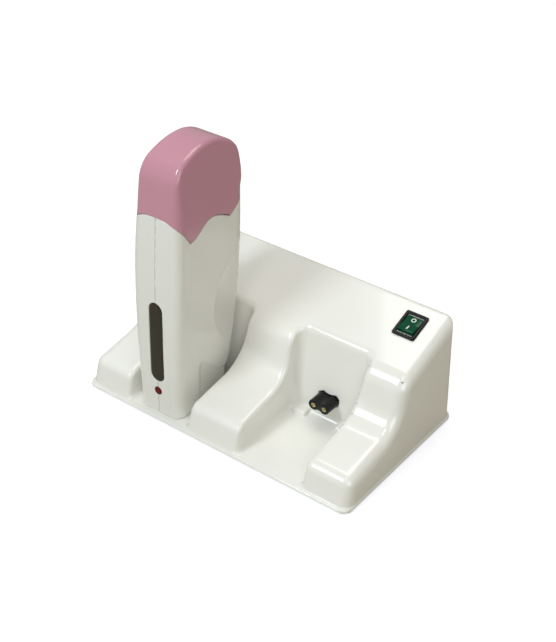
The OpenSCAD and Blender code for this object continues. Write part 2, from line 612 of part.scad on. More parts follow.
// Depth of the lens's face and of its rim behind the shell's front, the rim's width and its thickness
lens_face = 1.1;
lens_in = 1.95;
lens_rim = 1.9;
lens_t = 1.35;
module window_slab(grow, y0, y1) {
    r = window_w / 2 + grow;
    along_y(y0, y1, r, 0, window_w / 2);
    along_y(y0, y1, r, 0, window_h - window_w / 2);
    box([-r, y0, window_w / 2], [r, y1, window_h - window_w / 2]);
}
inlet_rear = hand_y + 71;
socket_y = plug_y - 0.5;
hand_inlet_w = pin_pitch + plug_lobe + 2 * slip + 2;
module inlet_block(grow) {
    box([-hand_inlet_w / 2 - grow, socket_y - 12 - grow, plug_z - 8 - grow],
        [hand_inlet_w / 2 + grow, inlet_rear + grow, plug_z + 8 + grow]);
}
// Gap under the neck, over the fillet at the back of the bay's floor
neck_gap = 0.9;
// The space under the handpiece, raised by lift
module under_floor(lift) {
    translate([0, arm_y, flange_h + slip + lift]) rotate([floor_slope, 0, 0])
        translate([-100, -100, -60]) cube([200, 300, 60]);
}
// Screws across the shells: distance behind the front face and height
shell_screw_places = [[14, 17], [46, 52], [75, 72], [80, 142]];
module shell_bosses(side) {
    for (p = shell_screw_places) intersection() {
        along_x(min(0, side * 40), max(0, side * 40), 3.6, hand_y + p[0], p[1]);
        hand_solid(hand_wall / 2, false, -10, 200);
    }
}
// Ribs that hold the heater sleeve between the shells
rib_heights = [4, 60];
rib_ys = [-9, 9];
module sleeve_ribs(side) {
    intersection() {
        translate([0, bottle_y, bottle_z]) rotate([-hand_lean, 0, 0])
            for (h = rib_heights) for (y = rib_ys) hull() {
                translate([side * (sleeve_w / 2 + slip), y, h]) rotate([0, side * 90, 0])
                    cylinder(r = 1, h = 1, $fn = 16);
                translate([side * 30, y, h]) rotate([0, side * 90, 0]) cylinder(r = 1.6, h = 1, $fn = 16);
            }
        hand_solid(hand_wall / 2, false, -10, 200);
    }
}
// Braces between each screw boss and the shell
module boss_braces(side) {
    for (p = shell_screw_places) intersection() {
        hull() {
            translate([side * 6, hand_y + p[0], p[1]]) cube([1, 7, 1.6], center = true);
            translate([side * 30, hand_y + p[0], p[1]]) cube([1, 12, 1.6], center = true);
        }
        hand_solid(hand_wall / 2, false, -10, 200);
    }
}
module half_shell(side) {
    color([0.90, 0.90, 0.87]) at_hand() difference() {
        union() {
            difference() {
                hand_solid(0, true, -10, 200);
                difference() {
                    hand_solid(hand_wall, false, -10, 200);
                    under_floor(hand_wall);
                }
            }
            shell_bosses(side, $fn = 24);
            boss_braces(side);
            sleeve_ribs(side);
        }
        difference() {
            translate([-100, -200, 140]) cube([200, 400, 100]);
            below_cap(0);
        }
        under_floor(0);
        box([-neck_w, hump_y - 3, -20], [neck_w, back_y + 10, floor_z(back_y) + neck_gap]);
        translate([side > 0 ? -100 : 0, -200, -50]) cube([100, 400, 400]);
        at_window() window_slab(0.1, -4, 6);
        at_window() window_slab(lens_rim + 0.2, lens_in - 0.15, 6);
        along_y(hand_y - 5, hand_y + 8, lamp_d / 2 + 0.1, 0, lamp_z);
        inlet_block(0.15);
        figure8(slip + 0.3, inlet_rear - 2, inlet_rear + 12, 0);
        for (p = shell_screw_places) {
            along_x(-2, 12, screw_r - 0.2, hand_y + p[0], p[1], $fn = 16);
            along_x(-40, 0.1, screw_r + 0.1, hand_y + p[0], p[1], $fn = 16);
            along_x(-60, -9, 2.9, hand_y + p[0], p[1], $fn = 24);
        }
    }
}
module left_shell() { half_shell(-1); }
module right_shell() { half_shell(1); }
module shell_screws() {
    color([0.7, 0.7, 0.72]) at_hand() for (p = shell_screw_places) {
        along_x(-11, -9.05, 2.6, hand_y + p[0], p[1]);
        along_x(-9.1, 11, screw_r - 0.25, hand_y + p[0], p[1]);
    }
}
ring_t = 1.6;
deck_z = 152;
lip_h = 5;
module mouth_ring() {
    gap = hand_wall + slip;
    color([0.85, 0.85, 0.82]) difference() {
        at_hand() difference() {
            intersection() {
                hand_solid(gap, false, 125, 230);
                below_cap(lip_h);
            }
            difference() {
                hand_solid(gap + ring_t, false, 125, 230);
                translate([-100, -200, 0]) cube([200, 400, deck_z + ring_t]);
            }
            translate([-100, -200, 0]) cube([200, 400, deck_z]);
        }
        at_bottle() slab(0, 150) stadium(bottle_l + 2 * slip + 1, bottle_w + 2 * slip + 1);
        at_hand() for (i = [0 : 7]) hull() {
            translate([-3.5 + i, hand_y + 70, deck_z - 1]) cylinder(r = 0.3, h = 4, $fn = 8);
            translate([-3.5 + i, hand_y + 80, deck_z - 1]) cylinder(r = 0.3, h = 4, $fn = 8);
        }
    }
}
module window_lens() {
    color([0.2, 0.17, 0.1, 0.8]) at_hand() at_window() {
        window_slab(0, lens_face, lens_in + lens_t);
        window_slab(lens_rim, lens_in, lens_in + lens_t);
    }
}
lamp_out = 0.4;
lamp_deep = 5;
dome_h = 1;
dome_half = lamp_d / 2 - 0.15;
dome_r = (dome_half * dome_half + dome_h * dome_h) / (2 * dome_h);
module lamp_lens() {
    color([0.6, 0.02, 0.04]) at_hand() {
        along_y(hand_y - lamp_out, hand_y + lamp_deep, lamp_d / 2, 0, lamp_z);
        translate([0, hand_y - lamp_out - dome_h + dome_r, lamp_z]) intersection() {
            sphere(r = dome_r);
            box([-lamp_d, -dome_r - 1, -lamp_d], [lamp_d, dome_h - dome_r + 0.01, lamp_d]);
        }
    }
}
lamp_end = hand_y + 16;
module lamp_body() {
    color([0.8, 0.8, 0.75]) at_hand() {
        along_y(hand_y + lamp_deep + 0.1, lamp_end - 4, 2.2, 0, lamp_z);
        along_y(lamp_end - 4, lamp_end, 0.8, 0, lamp_z);
    }
}
module heater_sleeve() {
    color([0.8, 0.81, 0.82]) at_bottle() difference() {
        slab(-2 - slip, sleeve_h) stadium(sleeve_l, sleeve_w);
        slab(-slip, sleeve_h + 1) stadium(sleeve_l - 2 * sleeve_t, sleeve_w - 2 * sleeve_t);
        box([-window_w / 2, -sleeve_l, 2], [window_w / 2, -sleeve_l / 2 + 5, 48]);
    }
}
heater_l = 18;
heater_h = 42;
heater_t = 2.6;
heater_z = 12;
module ptc_heater() {
    color([0.75, 0.7, 0.62]) at_bottle()
        box([sleeve_w / 2 + 0.02, -heater_l / 2, heater_z],
            [sleeve_w / 2 + heater_t, heater_l / 2, heater_z + heater_h]);
}
module heater_spring() {
    x0 = sleeve_w / 2 + heater_t + 0.02;
    color([0.7, 0.72, 0.74]) at_bottle() {
        box([x0, -heater_l / 2, heater_z + 8], [x0 + 0.5, heater_l / 2, heater_z + 34]);
        for (z = [16, 26]) along_y(-6, 6, 0.9, x0 + 0.92, heater_z + z);
    }
}
module thermostat() {
    color([0.72, 0.72, 0.72]) at_bottle() {
        along_x(-sleeve_w / 2 - 3.4, -sleeve_w / 2 - 0.02, 6.5, 0, 40);
        box([-sleeve_w / 2 - 4.2, -3, 46], [-sleeve_w / 2 - 3.2, 3, 52]);
    }
}
fuse_r = 1.8;
fuse_half = 9;
fuse_z = 24;
module thermal_fuse() {
    color([0.75, 0.72, 0.6]) at_bottle() {
        along_y(3 - fuse_half, fuse_half - 3, fuse_r, -sleeve_w / 2 - fuse_r - 0.03, fuse_z);
        along_y(-fuse_half, fuse_half, 0.4, -sleeve_w / 2 - fuse_r - 0.03, fuse_z);
    }
}
module handpiece_inlet() {
    color([0.07, 0.07, 0.07]) at_hand() difference() {
        inlet_block(0);
        figure8(slip, socket_y, inlet_rear + 2, 0);
        for (s = [-1, 1]) along_y(socket_y - 20, inlet_rear, pin_d / 2 + 0.02, s * pin_pitch / 2, plug_z);
    }
}
module handpiece_pins() {
    color([0.85, 0.85, 0.83]) at_hand() for (s = [-1, 1])
        along_y(socket_y - 15, socket_y + pin_len, pin_d / 2, s * pin_pitch / 2, plug_z);
}
lead_r = 0.9;
lead_out = 14;
// Wire from a pin's tail, forward through the neck to a point in the foot, and from there up to its end
module pin_wire(side, last, end) {
    start = [side * pin_pitch / 2, socket_y - 15 - wire_gap, plug_z];
    turn = [side * 9.5, hand_y + 20, 42];
    rise = [side * 6.6, 0, 10];
    first = curve(start, start - [0, lead_out, 0], turn - rise, turn, 8);
    second = curve(turn, turn + rise, last, end, 8);
    wire([each first, for (i = [1 : 8]) second[i]], lead_r);
}
// A point given in the cartridge's own frame
function in_bottle(x, y, z) = [x, bottle_y + y * cos(hand_lean) + z * sin(hand_lean),
    bottle_z - y * sin(hand_lean) + z * cos(hand_lean)];
module handpiece_wires() {
    heater_end = in_bottle(sleeve_w / 2 + 1.7, 0, heater_z) - [0, 0, wire_gap];
    fuse_end = in_bottle(-sleeve_w / 2 - fuse_r - 0.03, -fuse_half, fuse_z) - [0, 1, 0];
    lamp_start = [-pin_pitch / 2 + 2.5, socket_y - 15 - 1 - wire_gap, plug_z + 2.2];
    lamp_tail = [0, lamp_end + wire_gap, lamp_z];
    color([0.55, 0.2, 0.15]) at_hand() {
        pin_wire(1, heater_end + [1.2, -2, -20], heater_end);
        pin_wire(-1, fuse_end - [0.6, 10, 16], fuse_end);
        wire(curve(lamp_start, lamp_start + [1.7, -5, 0.8], lamp_tail + [0, 8, 0], lamp_tail), lead_r);
    }
}

// ---- Cartridge ----
bottle_wall = 1.5;
module bottle() {
    color([0.85, 0.8, 0.65, 0.5]) at_bottle() difference() {
        slab(0, bottle_h) stadium(bottle_l, bottle_w);
        slab(bottle_wall, bottle_h + 1) stadium(bottle_l - 2 * bottle_wall, bottle_w - 2 * bottle_wall);
    }
}
module wax() {
    color([0.75, 0.5, 0.12, 0.9]) at_bottle() slab(bottle_wall + 0.02, bottle_h - 12)
        stadium(bottle_l - 2 * bottle_wall - 0.04, bottle_w - 2 * bottle_wall - 0.04);
}
roller_z = bottle_h + 17;
roller_axle_r = 2;
cheek = 3;
cheek_r = 5;
head_l = roller_l + 2 * slip + 2 * cheek;
module roller_head() {
    color([0.9, 0.9, 0.88]) at_bottle() difference() {
        union() {
            slab(bottle_h - 6, bottle_h + 1)
                stadium(bottle_l - 2 * bottle_wall - 0.1, bottle_w - 2 * bottle_wall - 0.1);
            slab(bottle_h + 0.02, bottle_h + 4) stadium(bottle_l, bottle_w);
            box([-roller_d / 2 - 3, -head_l / 2, bottle_h + 3.9], [roller_d / 2 + 3, head_l / 2, bottle_h + 12]);
            for (y = [-head_l / 2, head_l / 2 - cheek]) {
                box([-cheek_r, y, bottle_h + 11], [cheek_r, y + cheek, roller_z]);
                along_y(y, y + cheek, cheek_r, 0, roller_z);
            }
        }
        along_y(-roller_l / 2 - slip, roller_l / 2 + slip, roller_d / 2 + slip, 0, roller_z);
        along_y(-head_l, head_l, roller_axle_r + shaft_gap, 0, roller_z);
        slab(bottle_h - 7, bottle_h + 8) stadium(bottle_l - 20, bottle_w - 20);
    }
}
module roller() {
    color([0.92, 0.92, 0.9]) at_bottle() {
        along_y(-roller_l / 2, roller_l / 2, roller_d / 2, 0, roller_z);
        along_y(-head_l / 2 + 0.3, head_l / 2 - 0.3, roller_axle_r, 0, roller_z);
    }
}

// ---- Cap ----
module cap() {
    color([0.74, 0.50, 0.56]) at_hand() difference() {
        union() {
            difference() {
                hand_solid(0, true, 125, 300);
                hand_solid(hand_wall, false, 115, 300);
            }
            intersection() {
                for (i = [-3.5 : 3.5]) hull() {
                    translate([-25, ring_y(200) + i * 5, 195]) cube([50, 0.8, 2]);
                    translate([-25, ring_y(200) + i * 5, 206]) cube([50, 0.8, 0.5]);
                }
                difference() {
                    hand_solid(hand_wall / 2, false, 120, 300);
                    hand_solid(hand_wall + 0.8, false, 110, 300);
                }
            }
        }
        below_cap(slip);
    }
}

base_shell();
base_plate();
base_screws();
rubber_feet();
switch_bezel();
switch_rocker();
switch_terminals();
left_dock_plug();
right_dock_plug();
left_dock_contacts();
right_dock_contacts();
dock_clamps();
clamp_screws();
mains_inlet();
mains_pins();
terminal_block();
base_wires();
left_shell();
right_shell();
shell_screws();
mouth_ring();
window_lens();
lamp_lens();
lamp_body();
heater_sleeve();
ptc_heater();
heater_spring();
thermostat();
thermal_fuse();
handpiece_inlet();
handpiece_pins();
handpiece_wires();
bottle();
wax();
roller_head();
roller();
cap();
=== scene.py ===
"""Roll on wax heater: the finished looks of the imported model, in metres, in the model's own frame.

The stand, the handpiece's two half shells and its cap are one family of shapes: solids given by a
distance that is negative inside, with plane and curved faces that run into each other through
rounded edges. The large moulded shells are level surfaces of such a distance. The cap and the small
parts are grids of points, found by sending rays out until the distance is met.
"""

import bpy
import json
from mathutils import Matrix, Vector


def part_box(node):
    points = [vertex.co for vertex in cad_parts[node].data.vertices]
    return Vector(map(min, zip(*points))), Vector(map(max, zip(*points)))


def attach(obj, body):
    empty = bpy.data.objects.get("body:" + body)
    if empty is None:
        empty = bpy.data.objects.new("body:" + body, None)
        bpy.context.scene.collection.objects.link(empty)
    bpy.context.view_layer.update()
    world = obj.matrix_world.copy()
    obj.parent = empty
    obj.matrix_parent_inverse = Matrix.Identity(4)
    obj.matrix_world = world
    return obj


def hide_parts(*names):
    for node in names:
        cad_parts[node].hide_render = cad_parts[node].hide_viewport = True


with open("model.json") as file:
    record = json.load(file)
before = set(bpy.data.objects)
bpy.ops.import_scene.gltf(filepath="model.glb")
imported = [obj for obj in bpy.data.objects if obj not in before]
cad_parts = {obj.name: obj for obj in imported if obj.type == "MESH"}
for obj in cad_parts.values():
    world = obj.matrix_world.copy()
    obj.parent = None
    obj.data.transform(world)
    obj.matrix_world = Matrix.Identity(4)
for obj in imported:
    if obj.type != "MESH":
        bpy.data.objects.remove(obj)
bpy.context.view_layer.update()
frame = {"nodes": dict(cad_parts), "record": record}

import json
import logging
import math
from dataclasses import dataclass
from enum import Enum
from typing import Callable, Iterable, Sequence

import bmesh
import bpy
import numpy as np
from mathutils import Matrix, Vector

LOG = logging.getLogger("wax_heater")
MM = 0.001
Array = np.ndarray
Distance = Callable[[Array, Array, Array], Array]


# ---------------------------------------------------------------- rounded solids

def both(a: Array, b: Array, radius: float | Array) -> Array:
    """Distance to what two solids share, with a round edge.

    Formula: min(-r, max(a, b)) + length of (max(a + r, 0), max(b + r, 0)).

    Args:
        a: distance to the first solid, in mm.
        b: distance to the second solid, in mm.
        radius: radius of the edge, in mm.

    Returns:
        The distance to the shared solid, in mm.
    """
    return np.minimum(-radius, np.maximum(a, b)) + np.hypot(np.maximum(a + radius, 0), np.maximum(b + radius, 0))


def either(a: Array, b: Array, radius: float | Array) -> Array:
    """Distance to two solids joined, with a round hollow of that radius where they meet."""
    return -both(-a, -b, radius)


def without(a: Array, b: Array, radius: float | Array) -> Array:
    """Distance to solid a with solid b cut out of it, with a round edge round the cut."""
    return both(a, -b, radius)


def above(y: Array, z: Array, y0: float, z0: float, angle: float) -> Array:
    """Distance above a line in the YZ plane, through (y0, z0) and rising at that angle to the rear."""
    a = math.radians(angle)
    return (z - z0) * math.cos(a) - (y - y0) * math.sin(a)


def gradient(distance: Distance, points: Array, step: float = 0.02) -> Array:
    """Gradient of a distance at some points, by central differences.

    Args:
        distance: the distance of the solid, in mm.
        points: an array of n points, in mm.
        step: half the length of each difference, in mm.

    Returns:
        An array of n gradients, each close to length 1.
    """
    out = np.empty_like(points)
    for axis in range(3):
        low, high = points.copy(), points.copy()
        low[:, axis] -= step
        high[:, axis] += step
        out[:, axis] = (distance(*high.T) - distance(*low.T)) / (2 * step)
    return out


def reach(distance: Distance, origin: Array, direction: Array, depth: float = 0.0, far: float = 120.0) -> Array:
    """Point on each ray where the distance rises to -depth, found by halving an interval.

    Args:
        distance: the distance of the solid, in mm.
        origin: starting points inside the solid, in mm.
        direction: unit directions, of the same shape.
        depth: how far under the surface the points lie, in mm.
        far: length of the rays, in mm.

    Returns:
        The points, in an array of the same shape.
    """
    low = np.zeros(origin.shape[:-1])
    high = np.full(origin.shape[:-1], far)
    for _ in range(26):
        middle = (low + high) / 2
        point = origin + direction * middle[..., None]
        inside = distance(point[..., 0], point[..., 1], point[..., 2]) <= -depth
        low = np.where(inside, middle, low)
        high = np.where(inside, high, middle)
    return origin + direction * low[..., None]


def level_surface(distance: Distance, low: Sequence[float], high: Sequence[float],
                  step: float) -> tuple[Array, Array]:
    """Surface of a solid, as squares between the points of a lattice whose edges it crosses.

    Formula: each cell of the lattice that the surface crosses gets one point, the mean of its
    crossings, which then slides along the gradient until its distance is zero. Each crossed edge
    of the lattice gives one square, through the points of the four cells around it.

    Args:
        distance: the distance of the solid, in mm.
        low: lowest corner of the lattice, in mm.
        high: highest corner of the lattice, in mm.
        step: length of a cell's side, in mm.

    Returns:
        The points, in mm, and the squares as rows of four indices, facing outwards.
    """
    axes = [np.arange(a, b + step, step) for a, b in zip(low, high)]
    grid = np.meshgrid(*axes, indexing="ij", sparse=True)
    value = distance(*grid) + np.zeros([len(a) for a in axes])
    inside = value < 0
    shape = np.array(inside.shape) - 1
    corners = [np.array(c) for c in np.ndindex(2, 2, 2)]
    parts = [inside[tuple(slice(c[k], c[k] + shape[k]) for k in range(3))] for c in corners]
    crossed = np.logical_or.reduce(parts) & ~np.logical_and.reduce(parts)
    cells = np.argwhere(crossed)
    number = np.full(crossed.shape, -1)
    number[crossed] = np.arange(len(cells))
    total = np.zeros((len(cells), 3))
    count = np.zeros(len(cells))
    for start in corners:
        for axis in range(3):
            if start[axis]:
                continue
            end = start.copy()
            end[axis] = 1
            a = value[tuple((cells + start).T)]
            b = value[tuple((cells + end).T)]
            cut = (a < 0) != (b < 0)
            share = np.where(cut, a / np.where(cut, a - b, 1), 0)
            total += np.where(cut[:, None], start + share[:, None] * (end - start), 0)
            count += cut
    points = np.array(low) + (cells + total / count[:, None]) * step
    for _ in range(4):
        slope = gradient(distance, points)
        off = distance(*points.T) / np.maximum((slope**2).sum(1), 0.25)
        points -= np.clip(off, -step / 2, step / 2)[:, None] * slope
    squares = []
    for axis in range(3):
        one, two = (axis + 1) % 3, (axis + 2) % 3
        lower = tuple(slice(1 if k != axis else 0, inside.shape[k] - 1) for k in range(3))
        upper = tuple(slice(1, inside.shape[k] - (k != axis)) for k in range(3))
        for sign, (first, second) in ((1, (one, two)), (-1, (two, one))):
            edge = inside[lower] & ~inside[upper] if sign > 0 else ~inside[lower] & inside[upper]
            at = np.argwhere(edge) + np.array([k != axis for k in range(3)])
            ring = []
            for back_first, back_second in ((1, 1), (0, 1), (0, 0), (1, 0)):
                cell = at.copy()
                cell[:, first] -= back_first
                cell[:, second] -= back_second
                ring.append(number[tuple(cell.T)])
            squares.append(np.stack(ring, 1))
    return points, np.concatenate(squares)


# ---------------------------------------------------------------- meshes

def make_piece(name: str, points: Array, faces: Array | list, normals: Array | None = None) -> bpy.types.Object:
    """Makes a smooth mesh object at the origin from points in mm.

    Args:
        name: name of the object.
        points: array of n points, in mm.
        faces: rows of point indices, facing outwards.
        normals: normals of the points, where they are known exactly.

    Returns:
        The new object.
    """
    mesh = bpy.data.meshes.new(name)
    mesh.from_pydata((points * MM).tolist(), [], [list(map(int, f)) for f in faces])
    mesh.validate()
    mesh.polygons.foreach_set("use_smooth", np.ones(len(mesh.polygons), bool))
    if normals is not None:
        length = np.linalg.norm(normals, axis=1, keepdims=True)
        mesh.normals_split_custom_set_from_vertices((normals / np.maximum(length, 1e-9)).tolist())
    piece = bpy.data.objects.new(name, mesh)
    bpy.context.scene.collection.objects.link(piece)
    return piece


def tidy_mesh(piece: bpy.types.Object, sharp: float = 35.0) -> bpy.types.Object:
    """Turns a closed mesh's faces outwards and marks its sharp edges.

    Args:
        piece: the mesh object.
        sharp: edges that turn by more than this many degrees stay sharp.

    Returns:
        The same object.
    """
    work = bmesh.new()
    work.from_mesh(piece.data)
    bmesh.ops.remove_doubles(work, verts=work.verts, dist=1e-7)
    bmesh.ops.recalc_face_normals(work, faces=work.faces)
    work.to_mesh(piece.data)
    work.free()
    piece.data.polygons.foreach_set("use_smooth", np.ones(len(piece.data.polygons), bool))
    piece.data.set_sharp_from_angle(angle=math.radians(sharp))
    return piece


def grid_faces(rows: int, columns: int) -> Array:
    """Squares of a grid of points whose columns close into rings, as rows of four indices."""
    j, i = np.meshgrid(np.arange(rows - 1), np.arange(columns), indexing="ij")
    a, b = j * columns + i, j * columns + (i + 1) % columns
    return np.stack([a, b, b + columns, a + columns], -1).reshape(-1, 4)


def close_rings(rings: Array) -> tuple[Array, list]:
    """Points and faces of a stack of rings, closed by a fan at each end.

    Args:
        rings: array of rows by columns by 3 coordinates, in mm.

    Returns:
        The points, and the faces as lists of indices.
    """
    rows, columns = rings.shape[:2]
    ends = np.stack([rings[0].mean(0), rings[-1].mean(0)])
    points = np.concatenate([rings.reshape(-1, 3), ends])
    i = np.arange(columns)
    j = (i + 1) % columns
    first, last = rows * columns, rows * columns + 1
    top = (rows - 1) * columns
    fans = np.concatenate([np.stack([j, i, np.full(columns, first)], 1),
                           np.stack([top + i, top + j, np.full(columns, last)], 1)])
    return points, [*grid_faces(rows, columns).tolist(), *fans.tolist()]


Outline = Callable[[float], Array]


def ray_outline(distance: Distance, count: int, centre: tuple[float, float] = (0.0, 0.0)) -> Outline:
    """Outline of a flat shape, drawn in by any amount: where rays from its centre meet its edge.

    Args:
        distance: distance of the shape in x and y, given a z of zero, in mm.
        count: number of rays, evenly spread in angle.
        centre: where the rays start, in mm.

    Returns:
        A function from the inset, in mm, to an array of count points with z zero.
    """
    angle = np.arange(count) * 2 * math.pi / count
    direction = np.stack([np.cos(angle), np.sin(angle), np.zeros(count)], 1)
    origin = np.tile([centre[0], centre[1], 0.0], (count, 1))
    return lambda inset: reach(distance, origin, direction, inset)


def rectangle(width: float, length: float, radius: float, count: int = 64) -> Outline:
    """Outline of a rectangle with round corners, as a function of its inset."""
    return ray_outline(lambda x, y, z: both(abs(x) - width / 2, abs(y) - length / 2, radius), count)


def disc(radius: float, count: int = 48) -> Outline:
    """Outline of a circle, as a function of its inset."""
    return ray_outline(lambda x, y, z: np.hypot(x, y) - radius, count)


def rounded_ends(low: float, high: float, radius: float, steps: int = 4) -> list[tuple[float, float]]:
    """Sections (inset, height) of a prism whose two ends have round edges of that radius."""
    turn = [math.pi / 2 * k / steps for k in range(steps + 1)]
    bottom = [(radius * (1 - math.sin(a)), low + radius * (1 - math.cos(a))) for a in turn]
    top = [(inset, high - (height - low)) for inset, height in reversed(bottom)]
    return bottom + top


def loft(name: str, outline: Outline, sections: Iterable[tuple[float, float]], place: Matrix) -> bpy.types.Object:
    """Solid whose sections are one outline, drawn in by an inset at each height.

    Args:
        name: name of the object.
        outline: the outline as a function of its inset, in mm.
        sections: pairs of inset and height, in mm, from one end to the other.
        place: where the outline's own frame lies, in mm.

    Returns:
        The new object.
    """
    rings = np.stack([outline(inset) + [0, 0, height] for inset, height in sections])
    points, faces = close_rings(rings)
    turn, shift = np.array(place.to_3x3()), np.array(place.translation)
    return tidy_mesh(make_piece(name, points @ turn.T + shift, faces))


# ---------------------------------------------------------------- shapes

@dataclass(frozen=True)
class StandShape:
    """Outer shape of the stand, in mm. The origin lies on the table, under the centre of its foot."""

    width: float = 266.0
    depth: float = 155.0
    height: float = 102.2
    flange_height: float = 4.2
    front_ledge: float = 2.5
    side_ledge: float = 1.2
    side_draft: float = 1.3
    top_slope: float = 20.0
    pad_height: float = 25.2
    pad_slope: float = 10.5
    front_lean: float = 16.0
    step_lean: float = 16.4
    step_run: float = 79.5
    bay_pitch: float = 114.4
    bay_width: float = 62.0
    bay_draft: float = 3.0
    floor_slope: float = 2.7
    back_run: float = 82.4
    back_lean: float = 10.5
    ledge_height: float = 4.0
    ledge_run: float = 12.0
    notch_width: float = 29.0
    plug_height: float = 25.6
    foot_lift: float = 1.0
    edge_radius: float = 5.0
    outer_radius: float = 10.0
    rim_radius: float = 4.0
    corner_radius: float = 8.0
    fillet_radius: float = 4.5
    blend_radius: float = 15.0
    brow_radius: float = 9.0

    @property
    def front(self) -> float:
        """Front edge of the foot."""
        return -self.depth / 2

    @property
    def rear(self) -> float:
        """Rear edge of the foot."""
        return self.depth / 2

    @property
    def arm(self) -> float:
        """Foot of the arms' front faces."""
        return self.front + self.front_ledge

    @property
    def bay(self) -> float:
        """Distance from the middle to each bay's centre."""
        return self.bay_pitch / 2

    @property
    def back(self) -> float:
        """Back wall of the bays at the plugs' height."""
        return self.front + self.back_run

    def top(self, y: float) -> float:
        """Height of the sloping top plane."""
        return self.height + (y - self.rear) * math.tan(math.radians(self.top_slope))

    def floor(self, y: float | Array) -> float | Array:
        """Height of the bays' floor."""
        return self.flange_height + (y - self.arm) * math.tan(math.radians(self.floor_slope))

    def arm_profile(self, y: Array, z: Array) -> Array:
        """Distance to an arm seen from the side: front face, pad, step and top plane."""
        step = self.front + self.step_run
        upper = both(above(y, z, step, self.top(step), 90 - self.step_lean),
                     above(y, z, self.rear, self.height, self.top_slope), self.brow_radius)
        pad = above(y, z, self.arm, self.pad_height, self.pad_slope)
        front = above(y, z, self.arm, self.flange_height, 90 - self.front_lean)
        return both(front, either(pad, upper, self.blend_radius), self.edge_radius + 1)

    def body(self, x: Array, y: Array, z: Array) -> Array:
        """Distance to the body without its bays: the arm's profile between two drafted side walls."""
        draft = math.radians(self.side_draft)
        rear = -above(y, z, self.rear - self.side_ledge, self.flange_height, 90 + self.side_draft)
        side = (abs(x) - self.width / 2 + self.side_ledge) * math.cos(draft)
        side = side + (z - self.flange_height) * math.sin(draft)
        return both(both(self.arm_profile(y, z), rear, self.edge_radius), side, self.outer_radius)

    def bay_space(self, x: Array, y: Array, z: Array) -> Array:
        """Distance to the room that both bays take out of the body."""
        draft, lean = math.radians(self.bay_draft), math.radians(self.back_lean)
        across = abs(abs(x) - self.bay) - self.bay_width / 2
        side = across * math.cos(draft) - (z - self.flange_height) * math.sin(draft)
        back = (y - self.back) * math.cos(lean) - (z - self.plug_height) * math.sin(lean)
        floor = -above(y, z, self.arm, self.flange_height, self.floor_slope)
        return both(both(side, back, self.corner_radius), floor, self.fillet_radius)

    def ledge(self, x: Array, y: Array, z: Array) -> Array:
        """Distance to the raised ledge at the rear of each bay, with a notch for the handpiece's neck."""
        start = self.back - self.ledge_run
        top = above(y, z, start, self.floor(start) + self.ledge_height, self.floor_slope)
        across = abs(abs(x) - self.bay)
        inside = np.maximum(across - self.bay_width / 2 - 6, y - self.back - 20)
        return both(both(top, start - y, 2.5), np.maximum(self.notch_width / 2 - across, inside), 2.0)

    def flange(self, x: Array, y: Array, z: Array) -> Array:
        """Distance to the flat flange round the foot."""
        plan = both(abs(x) - self.width / 2, abs(y) - self.depth / 2, self.outer_radius - 1)
        return both(plan, z - self.flange_height, 1.5)

    def solid(self, x: Array, y: Array, z: Array) -> Array:
        """Distance to the whole stand as one solid."""
        body = without(self.body(x, y, z), self.bay_space(x, y, z), self.rim_radius)
        return either(either(body, self.ledge(x, y, z), 1.5), self.flange(x, y, z), 0.8)


